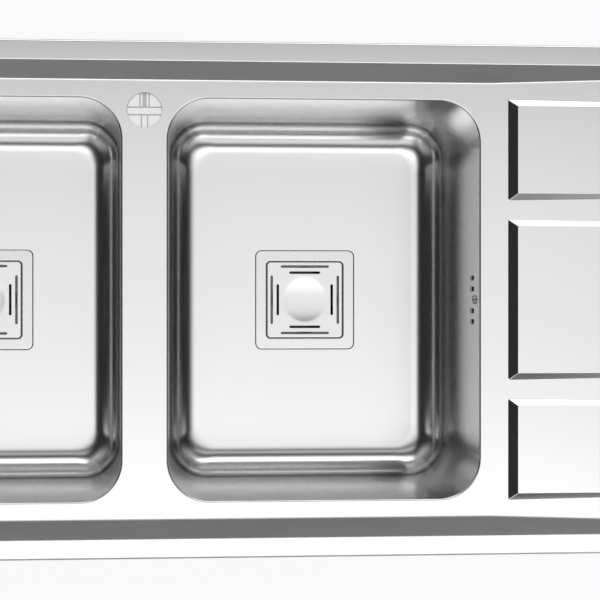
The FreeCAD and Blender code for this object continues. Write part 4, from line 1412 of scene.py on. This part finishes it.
@dataclass
class Underside:
    """Moulded waste body, overflow housing and overflow pipe of one bowl."""

    side: Side
    flange_half: float = 55.0 * MM
    flange_corner: float = 10.0 * MM
    flange_plate: float = 4.0 * MM
    chamber: float = 46.0 * MM
    chamber_radii: tuple[float, ...] = (5 * MM, 2 * MM, 0.5 * MM, 0.5 * MM, 1 * MM, 3 * MM)
    wall: float = 3.0 * MM
    outlet: float = 23.9 * MM
    outlet_bore: float = 19.5 * MM
    outlet_length: float = 22.0 * MM
    boss: float = 7.0 * MM
    boss_length: float = 20.0 * MM
    boss_below_floor: float = 52.0 * MM
    insert: float = 4.5 * MM
    spokes: int = 4
    spoke_lap: float = 1.0 * MM  # into the boss and the outlet
    spoke_width: float = 4.0 * MM
    spoke_height: float = 12.0 * MM
    pipe: float = 12.0 * MM
    pipe_bore: float = 10.0 * MM
    pipe_bend: float = 30.0 * MM
    pipe_below_floor: float = 34.0 * MM
    pipe_end: float = 66.0 * MM
    pipe_x: float = 177.0 * MM
    housing_wall: float = 2.0 * MM
    housing_corner: float = 8.0 * MM
    housing_radii: tuple[float, ...] = (1 * MM, 0.3 * MM, 0.3 * MM, 2 * MM)
    housing_gap: float = 2.5 * MM  # from the bowl's inner face to the housing's open side
    housing_run: float = 9.0 * MM  # of the box's back that belongs to its wall's path
    spigot_length: float = 16.0 * MM

    def build_body(self) -> bpy.types.Object:
        """Makes the waste body with its flange, chamber, outlet, boss and side spigot.

        Returns:
            The piece that stands for the side's waste body.
        """
        low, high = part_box(self.side.name("waste_body"))
        top, end = high.z, low.z
        floor = end + self.outlet_length
        surface = Surface()
        outline = Outline(0, 0, self.flange_half, self.flange_half, self.flange_corner)
        corners = flat(outline.ring(spots_round([0.0], [0.0], steps=10), 0, 0))
        bore = flat(circle(0, 0, 0, self.chamber - self.wall / 2, count=72))
        surface.prism(corners, top - self.flange_plate, top, bore)
        inner = self.chamber - self.wall
        path = rounded(((self.chamber, top), (self.chamber, floor), (self.outlet, floor), (self.outlet, end),
                        (self.outlet_bore, end), (self.outlet_bore, floor + self.wall),
                        (inner, floor + self.wall), (inner, top)),
                       radii=self.chamber_radii, steps=(6, 3, 2, 2, 2, 4))
        surface.lathe(path, count=72, closed=True)
        boss_top = self.side.floor_z - self.boss_below_floor
        boss_low = boss_top - self.boss_length
        surface.lathe([(0, boss_low), (self.boss, boss_low), (self.boss, boss_top), (self.insert, boss_top),
                       (self.insert, boss_top - self.spoke_height), (0, boss_top - self.spoke_height)],
                      count=32)
        spoke = Surface()
        half = self.spoke_width / 2
        near, far = self.boss - self.spoke_lap, self.outlet_bore + self.spoke_lap
        spoke.prism([(near, -half), (far, -half), (far, half), (near, half)],
                    boss_low, boss_low + self.spoke_height)
        surface.take(Repeat.around(spoke, self.spokes, WASTE_PLASTIC))
        z = self.side.floor_z - self.pipe_below_floor
        ends = [Vector((self.side.outward * x, 0, z)) for x in (self.chamber - self.wall / 2, self.pipe_end)]
        surface.tube(ends, self.pipe, self.pipe_bore, Vector((0, 1, 0)))
        piece = surface.finish(self.side.name("waste_body_moulding"), WASTE_PLASTIC,
                               turn=Matrix.Translation((self.side.x, 0, 0)))
        return settle(piece, "root", self.side.name("waste_body"))

    def build_housing(self) -> bpy.types.Object:
        """Makes the box behind the overflow slots, with its spigot.

        Returns:
            The piece that stands for the side's overflow housing.
        """
        low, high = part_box(self.side.name("overflow_housing"))
        half_y = (high.y - low.y) / 2
        half_z = (high.z - low.z - self.spigot_length) / 2
        middle_z = high.z - half_z
        near = self.side.half_x + self.housing_gap
        far = max(abs(low.x - self.side.x), abs(high.x - self.side.x))
        outline = Outline(0, 0, half_z, half_y, self.housing_corner)
        spots = spots_round([0.0], [0.0], steps=8)
        surface = Surface()
        back = far - self.housing_wall
        path = rounded(((self.housing_run, back), (self.housing_wall, back), (self.housing_wall, near),
                        (0, near), (0, far), (self.housing_run, far)),
                       radii=self.housing_radii, steps=(2, 1, 1, 5))
        rings = [surface.ring(outline.ring(spots, inset, z)) for inset, z in path[1:-1]]
        surface.band(rings)
        surface.fill(rings[0])
        surface.fill(rings[-1])
        outward = self.side.outward
        # The box is drawn lying down: what was up faces outward, and what was right faces down
        turn = Matrix(((0, 0, outward, self.side.x), (0, 1, 0, 0), (-1, 0, 0, middle_z), (0, 0, 0, 1)))
        surface = Surface().take(surface.hand_over(), turn)
        x = self.side.x + outward * self.pipe_x
        surface.tube([Vector((x, 0, middle_z - half_z + self.housing_wall / 2)), Vector((x, 0, low.z))],
                     self.pipe, self.pipe_bore, Vector((0, 1, 0)))
        piece = surface.finish(self.side.name("overflow_housing_moulding"), WASTE_PLASTIC)
        return settle(piece, "root", self.side.name("overflow_housing"))

    def build_pipe(self) -> bpy.types.Object:
        """Makes the overflow pipe, down from the housing, round its bend and in to the waste body.

        Returns:
            The piece that stands for the side's overflow pipe.
        """
        outward = self.side.outward
        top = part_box(self.side.name("overflow_housing"))[0].z
        level = self.side.floor_z - self.pipe_below_floor
        bend = rounded(((self.pipe_x, top), (self.pipe_x, level), (self.pipe_end, level)),
                       radii=(self.pipe_bend,), steps=(16,))
        path = [Vector((self.side.x + outward * x, 0, z)) for x, z in bend]
        surface = Surface()
        surface.tube(path, self.pipe, self.pipe_bore, Vector((0, 1, 0)), count=40)
        piece = surface.finish(self.side.name("overflow_pipe_bend"), WASTE_PLASTIC)
        return settle(piece, "root", self.side.name("overflow_pipe"))


@dataclass(frozen=True)
class Screw:
    """Slotted screw, its head's underside at the origin and its shank downward."""

    shank: float
    length: float
    head: float
    head_height: float
    slot_depth: float
    slot_width: float = 1.4 * MM
    slot_reach: float = 1.7  # length of the slot against the radius of the head's flat top
    crown: float = 0.35  # rounding of the head, as a share of its height
    fillet: float = 0.15 * MM
    tip: float = 0.4 * MM

    def seed(self) -> Surface:
        """The screw as a closed solid.

        Returns:
            The screw.
        """
        surface = Surface()
        path = rounded(((self.head / 2, self.head_height), (self.head, self.head_height), (self.head, 0),
                        (self.shank, 0), (self.shank, -self.length), (self.shank / 2, -self.length)),
                       radii=(self.crown * self.head_height, self.fillet, self.fillet, self.tip),
                       steps=(4, 1, 1, 2))
        rings = [surface.ring(circle(0, 0, z, radius, count=32)) for radius, z in path[1:-1]]
        surface.band(rings)
        top_radius = self.head - self.crown * self.head_height
        shape = stadium(self.slot_reach * top_radius, self.slot_width, steps=3)
        slot = [surface.ring(Vector((x, y, z)) for x, y in shape)
                for z in (self.head_height, self.head_height - self.slot_depth)]
        surface.band(slot)
        surface.fill(rings[0], slot[0])
        surface.fill(slot[1])
        surface.fill(rings[-1])
        return surface


@dataclass(frozen=True)
class Nut:
    """Nut with flat sides, its middle at the origin."""

    sides: int
    flats: float
    height: float
    bore: float

    def seed(self) -> Surface:
        """The nut as a closed solid.

        Returns:
            The nut.
        """
        surface = Surface()
        reach = self.flats / 2 / math.cos(math.pi / self.sides)
        turn = math.pi / self.sides
        outer = [(reach * math.cos(turn * (2 * i + 1)), reach * math.sin(turn * (2 * i + 1)))
                 for i in range(self.sides)]
        bore = flat(circle(0, 0, 0, self.bore, count=32))
        surface.prism(outer, -self.height / 2, self.height / 2, bore)
        return surface


@dataclass
class Fasteners:
    """Screws and nuts of the whole sink, all copies of a few seeds."""

    sides: Sequence[Side]
    clip_along: float = 440.8 * MM
    clip_from_edge: float = 25.25 * MM
    side_clip_along: float = 119.6 * MM
    clip_screw_head: float = 4.5 * MM
    waste_screw_head: float = 3.6 * MM
    overflow_screw_head: float = 2.2 * MM

    def clip_places(self, z: float) -> list[tuple[float, float, float]]:
        """The ten clip screws' places at one height.

        Args:
            z: The height.

        Returns:
            The places.
        """
        reach_x, reach_y = CAD_BOUNDS[1].x - self.clip_from_edge, CAD_BOUNDS[1].y - self.clip_from_edge
        found = [(x, turn * reach_y, z) for turn in (-1, 1) for x in (-self.clip_along, 0.0, self.clip_along)]
        return found + [(turn * reach_x, y, z) for turn in (-1, 1)
                        for y in (-self.side_clip_along, self.side_clip_along)]

    def build_clip_screws(self) -> bpy.types.Object:
        """Makes the ten clip screws, heads down.

        Returns:
            The piece that stands for clip_screws.
        """
        low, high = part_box("clip_screws")
        screw = Screw(shank=3 * MM, length=high.z - low.z - self.clip_screw_head, head=6 * MM,
                      head_height=self.clip_screw_head, slot_depth=1.8 * MM)
        upturned = Surface().take(screw.seed().hand_over(), Matrix.Rotation(math.pi, 4, "X"))
        places = self.clip_places(low.z + self.clip_screw_head)
        copies = Repeat.at(upturned, places, SCREW_STEEL)
        piece = Surface().take(copies).finish("clip_screw_set", SCREW_STEEL)
        return settle(piece, "root", "clip_screws")

    def build_clip_nuts(self) -> bpy.types.Object:
        """Makes the ten clip nuts.

        Returns:
            The piece that stands for clip_nuts.
        """
        low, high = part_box("clip_nuts")
        nut = Nut(sides=6, flats=10 * MM, height=high.z - low.z, bore=3.1 * MM)
        copies = Repeat.at(nut.seed(), self.clip_places((low.z + high.z) / 2), SCREW_STEEL)
        piece = Surface().take(copies).finish("clip_nut_set", SCREW_STEEL, edge=0.4 * MM)
        return settle(piece, "root", "clip_nuts")

    def build_waste_screws(self) -> bpy.types.Object:
        """Makes the screw in the middle of each waste.

        Returns:
            The piece that stands for waste_screws.
        """
        low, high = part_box("waste_screws")
        head_z = high.z - self.waste_screw_head
        screw = Screw(shank=3 * MM, length=head_z - low.z, head=6.5 * MM,
                      head_height=self.waste_screw_head, slot_depth=1.6 * MM)
        copies = Repeat.at(screw.seed(), [(side.x, 0, head_z) for side in self.sides], SCREW_STEEL)
        piece = Surface().take(copies).finish("waste_screw_set", SCREW_STEEL)
        return settle(piece, "root", "waste_screws")

    def build_overflow_screws(self) -> bpy.types.Object:
        """Makes the screw between the overflow slots of each bowl.

        Returns:
            The piece that stands for overflow_screws.
        """
        low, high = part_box("overflow_screws")
        surface = Surface()
        for side, end in zip(self.sides, (low.x, high.x)):
            bowl = Bowl(side)
            z = side.deck_z - bowl.screw_below
            wall = bowl.wall_x(z)
            screw = Screw(shank=2.5 * MM, length=abs(end - wall), head=4.6 * MM,
                          head_height=self.overflow_screw_head, slot_depth=1.0 * MM, crown=0.85)
            turn = Matrix.Translation((wall, 0, z)) @ Matrix.Rotation(-side.outward * math.pi / 2, 4, "Y")
            surface.take(Repeat.at(screw.seed(), [(0, 0, 0)], SCREW_STEEL), turn)
        return settle(surface.finish("overflow_screw_set", SCREW_STEEL), "root", "overflow_screws")

    def build_union_nuts(self) -> bpy.types.Object:
        """Makes the two union nuts on each overflow pipe.

        Returns:
            The piece that stands for overflow_nuts.
        """
        nut = Nut(sides=8, flats=30 * MM, height=15 * MM, bore=12.1 * MM)
        under = [Underside(side) for side in self.sides]
        upright = [(part.side.x + part.side.outward * part.pipe_x, 0,
                    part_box(part.side.name("overflow_housing"))[0].z) for part in under]
        level = self.sides[0].floor_z - under[0].pipe_below_floor
        lying = [(-level, 0, part.side.x + part.side.outward * part.pipe_end) for part in under]
        surface = Surface().take(Repeat.at(nut.seed(), upright, WASTE_PLASTIC))
        surface.take(Repeat.at(nut.seed(), lying, WASTE_PLASTIC), Matrix.Rotation(math.pi / 2, 4, "Y"))
        return settle(surface.finish("union_nut_set", WASTE_PLASTIC, edge=0.8 * MM), "root", "overflow_nuts")

    def build(self) -> None:
        """Makes every set."""
        self.build_clip_screws()
        self.build_clip_nuts()
        self.build_waste_screws()
        self.build_overflow_screws()
        self.build_union_nuts()


@dataclass
class TapPlug:
    """Pale plastic disc with moulded fields and grooves that fills the tap hole."""

    groove: float = 1.3 * MM
    groove_depth: float = 1.1 * MM
    upper_line: float = 3.1 * MM
    lower_line: float = -4.5 * MM
    lower_rib: float = 3.1 * MM
    upper_rib: float = 4.6 * MM
    slot_half: float = 2.0 * MM
    edge: float = 0.25 * MM
    lap: float = 0.2 * MM  # of the fields into the disc below them

    def fields(self, radius: float) -> list[list[tuple[float, float]]]:
        """Outlines of the raised fields between the grooves.

        Args:
            radius: The disc's radius.

        Returns:
            The outlines, about the disc's middle.
        """
        half = self.groove / 2
        spans = [(-radius, radius, self.lower_line + half, self.upper_line - half)]
        for left, right in ((-radius, -self.lower_rib - half), (half - self.lower_rib, self.lower_rib - half),
                            (self.lower_rib + half, radius)):
            spans.append((left, right, -radius, self.lower_line - half))
        for left, right in ((self.slot_half, self.upper_rib - half), (self.upper_rib + half, radius)):
            spans.append((left, right, self.upper_line + half, radius))
            spans.append((-right, -left, self.upper_line + half, radius))
        return [self.clipped(radius, *span) for span in spans]

    @staticmethod
    def clipped(radius: float, left: float, right: float, low: float,
                high: float) -> list[tuple[float, float]]:
        """The part of a disc that lies in a box.

        Args:
            radius: The disc's radius.
            left: The box's left side.
            right: Its right side.
            low: Its front side.
            high: Its back side.

        Returns:
            The part's outline.
        """
        points = flat(circle(0, 0, 0, radius, count=96))
        for axis, limit, keep in ((0, left, 1), (0, right, -1), (1, low, 1), (1, high, -1)):
            kept = []
            for here, after in zip(points, points[1:] + points[:1]):
                first, second = (keep * (p[axis] - limit) for p in (here, after))
                if first >= 0:
                    kept.append(here)
                if first * second < 0:
                    share = first / (first - second)
                    kept.append(tuple(a + (b - a) * share for a, b in zip(here, after)))
            points = kept
        return points

    def build(self) -> bpy.types.Object:
        """Makes the disc.

        Returns:
            The piece that stands for tap_hole_plug.
        """
        low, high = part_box("tap_hole_plug")
        middle, radius = (low + high) / 2, (high.x - low.x) / 2
        surface = Surface()
        base = high.z - self.groove_depth
        surface.prism(flat(circle(0, 0, 0, radius, count=96)), low.z, base)
        for outline in self.fields(radius):
            surface.prism(outline, base - self.lap, high.z)
        # The plug's plastic paints shade into its grooves
        piece = surface.finish("tap_hole_plug_disc", PLUG_PLASTIC, edge=self.edge,
                               turn=Matrix.Translation((middle.x, middle.y, 0)))
        return settle(piece, "tap_plug", "tap_hole_plug")


# Carried-over nodes

CARRIED = {
    RAIL_STEEL: ("rail_front", "rail_back", "rail_left", "rail_right", "drainer_braces"),
    WHITE_PLASTIC: ("tap_stiffener",),
    SEAL_FOAM: ("rim_seal",),
    DAMPER_RUBBER: ("left_bowl_dampers", "right_bowl_dampers"),
    GASKET_RUBBER: ("left_upper_gasket", "right_upper_gasket", "left_lower_gasket", "right_lower_gasket",
                    "left_overflow_gasket", "right_overflow_gasket"),
    INSERT_BRASS: ("waste_inserts",),
    CLIP_STEEL: ("back_clip_left", "back_clip_middle", "back_clip_right", "front_clip_left",
                 "front_clip_middle", "front_clip_right", "left_clip_front", "left_clip_back",
                 "right_clip_front", "right_clip_back"),
}


def dress_carried() -> None:
    """Gives each CAD node that stays its finish, by its object's material slots."""
    for finish, nodes in CARRIED.items():
        for node in nodes:
            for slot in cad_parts[node].material_slots:
                slot.link = "OBJECT"
                slot.material = finish.material()
            LOG.info("%s keeps its mesh in %s", node, finish.name)


# Light, floor and camera

@dataclass(frozen=True)
class Softbox:
    """A long softbox overhead, which runs from left to right and fades at its front and back edges."""

    middle: float  # its place on the sky, from -1 at the front to 1 at the back
    half: float  # from its middle to the middle of a fading edge
    level: float
    fade: float = 0.2

    def glow(self, north: Value) -> Value:
        """Its brightness at a place on the sky."""
        apart = north.recipe.node("ShaderNodeMath", {"operation": "ABSOLUTE"}, north - self.middle)
        return (1 - apart.smooth(self.half - self.fade / 2, self.half + self.fade / 2)) * self.level


@dataclass(frozen=True)
class Studio:
    """Five softboxes, a lamp overhead, a pale floor and the camera."""

    strength: float = 2.6
    softboxes: tuple[Softbox, ...] = (
        Softbox(middle=-0.75, half=0.12, level=0.4), Softbox(middle=-0.28, half=0.14, level=0.35),
        Softbox(middle=-0.08, half=0.26, level=0.42), Softbox(middle=0.4, half=0.06, level=0.35),
        Softbox(middle=0.84, half=0.12, level=1.0))
    left_edge: tuple[float, float] = (-0.42, -0.22)  # where the softboxes fade in, from left to right
    right_edge: tuple[float, float] = (0.25, 0.68)
    corner_light: float = 0.55
    corner_edge: tuple[float, float] = (0.2, 0.4)
    horizon: tuple[float, float] = (-0.02, 0.02)
    least_light: float = 0.02
    lamp_size: float = 2.4
    lamp_height: float = 2.6
    lamp_power: float = 30.0
    floor_below: float = 1.0 * MM
    floor_radius: float = 12.0
    floor_grey: float = 0.85
    floor_glow: float = 0.9  # share of plain white in the floor, as the camera sees it
    camera_at: tuple[float, float, float] = (-176.75 * MM, -0.3 * MM, 1636.4 * MM)
    camera_target: tuple[float, float, float] = (-47.9 * MM, -0.3 * MM, 3.0 * MM)
    camera_sensor: float = 36.0
    camera_reach: float = 2.71  # lens over sensor width
    camera_shift: float = 0.04

    def build_world(self) -> None:
        """Makes the light that comes from all round."""
        world = bpy.data.worlds.new("studio")
        bpy.context.scene.world = world
        world.use_nodes = True
        recipe = Recipe(world.node_tree)
        toward = recipe.node("ShaderNodeTexCoord", output="Generated")
        toward = recipe.node("ShaderNodeVectorMath", {"operation": "NORMALIZE"}, toward)
        east, north, up = recipe.axes(toward)
        level = sum((box.glow(north) for box in self.softboxes), start=0.0)
        level = level * east.smooth(*self.left_edge) * (1 - east.smooth(*self.right_edge))
        apart = recipe.node("ShaderNodeMath", {"operation": "ABSOLUTE"}, east * north)
        level = level * self.strength + apart.smooth(*self.corner_edge) * self.corner_light
        level = level * up.smooth(*self.horizon) + self.least_light
        seen = recipe.node("ShaderNodeLightPath", output="Is Camera Ray")
        light = recipe.node("ShaderNodeBackground", None, Strength=level)
        white = recipe.node("ShaderNodeBackground", None, Strength=1.0)
        shown = recipe.node("ShaderNodeMixShader", None, seen, light, white)
        for background in (light, white):
            background.socket.node.inputs["Color"].default_value = grey(1.0)
        recipe.node("ShaderNodeOutputWorld", None, shown)

    def build_lamp(self) -> None:
        """Makes the soft lamp overhead, which dull surfaces catch and steel doesn't mirror."""
        data = bpy.data.lights.new("overhead", "AREA")
        data.size = self.lamp_size
        data.energy = self.lamp_power
        lamp = bpy.data.objects.new("overhead", data)
        bpy.context.scene.collection.objects.link(lamp)
        lamp.location = (0, 0, self.lamp_height)
        lamp.visible_glossy = False
        lamp.visible_camera = False

    def build_floor(self) -> None:
        """Makes the pale floor just below the sink."""
        surface = Surface()
        level = CAD_BOUNDS[0].z - self.floor_below
        surface.fill(surface.ring(circle(0, 0, level, self.floor_radius, count=64)))
        mesh = bpy.data.meshes.new("studio_floor")
        surface.mesh.to_mesh(mesh)
        surface.mesh.free()
        floor = bpy.data.objects.new("studio_floor", mesh)
        bpy.context.scene.collection.objects.link(floor)
        made = bpy.data.materials.new("studio_floor_paint")
        made.use_nodes = True
        recipe = Recipe(made.node_tree)
        paint = recipe.node("ShaderNodeBsdfDiffuse")
        paint.socket.node.inputs["Color"].default_value = grey(self.floor_grey)
        glow = recipe.node("ShaderNodeEmission", None, grey(1.0), 1.0)
        seen = recipe.node("ShaderNodeLightPath", output="Is Camera Ray")
        shown = recipe.node("ShaderNodeMixShader", None, seen * self.floor_glow, paint, glow)
        recipe.node("ShaderNodeOutputMaterial", None, shown)
        mesh.materials.append(made)

    def build_camera(self) -> None:
        """Makes the camera, looking down with a small tilt."""
        data = bpy.data.cameras.new("photo_camera")
        data.sensor_width = self.camera_sensor
        data.lens = self.camera_reach * self.camera_sensor
        data.shift_x = self.camera_shift
        camera = bpy.data.objects.new("photo_camera", data)
        bpy.context.scene.collection.objects.link(camera)
        place, target = Vector(self.camera_at), Vector(self.camera_target)
        look = (target - place).normalized()
        right = Vector((1, 0, 0)) - look * look.x
        right.normalize()
        up = right.cross(look)
        camera.matrix_world = Matrix((
            (right.x, up.x, -look.x, place.x), (right.y, up.y, -look.y, place.y),
            (right.z, up.z, -look.z, place.z), (0, 0, 0, 1)))
        bpy.context.scene.camera = camera

    def build(self) -> None:
        """Sets the whole studio up."""
        self.build_world()
        self.build_lamp()
        self.build_floor()
        self.build_camera()
        bpy.context.scene.view_settings.view_transform = "Standard"


def main() -> None:
    """Builds every piece, the studio and the camera."""
    logging.basicConfig(level=logging.INFO, format="%(message)s")
    sides = (Side("left", -1), Side("right", 1))
    dress_carried()
    Deck(sides).build()
    for side in sides:
        Bowl(side).build()
        waste = Waste(side)
        waste.build_flange()
        waste.build_lid()
        basket = Basket(side)
        basket.build()
        basket.build_knob()
        under = Underside(side)
        under.build_body()
        under.build_housing()
        under.build_pipe()
    Fasteners(sides).build()
    TapPlug().build()
    Studio().build()


if __name__ == "__main__":
    main()
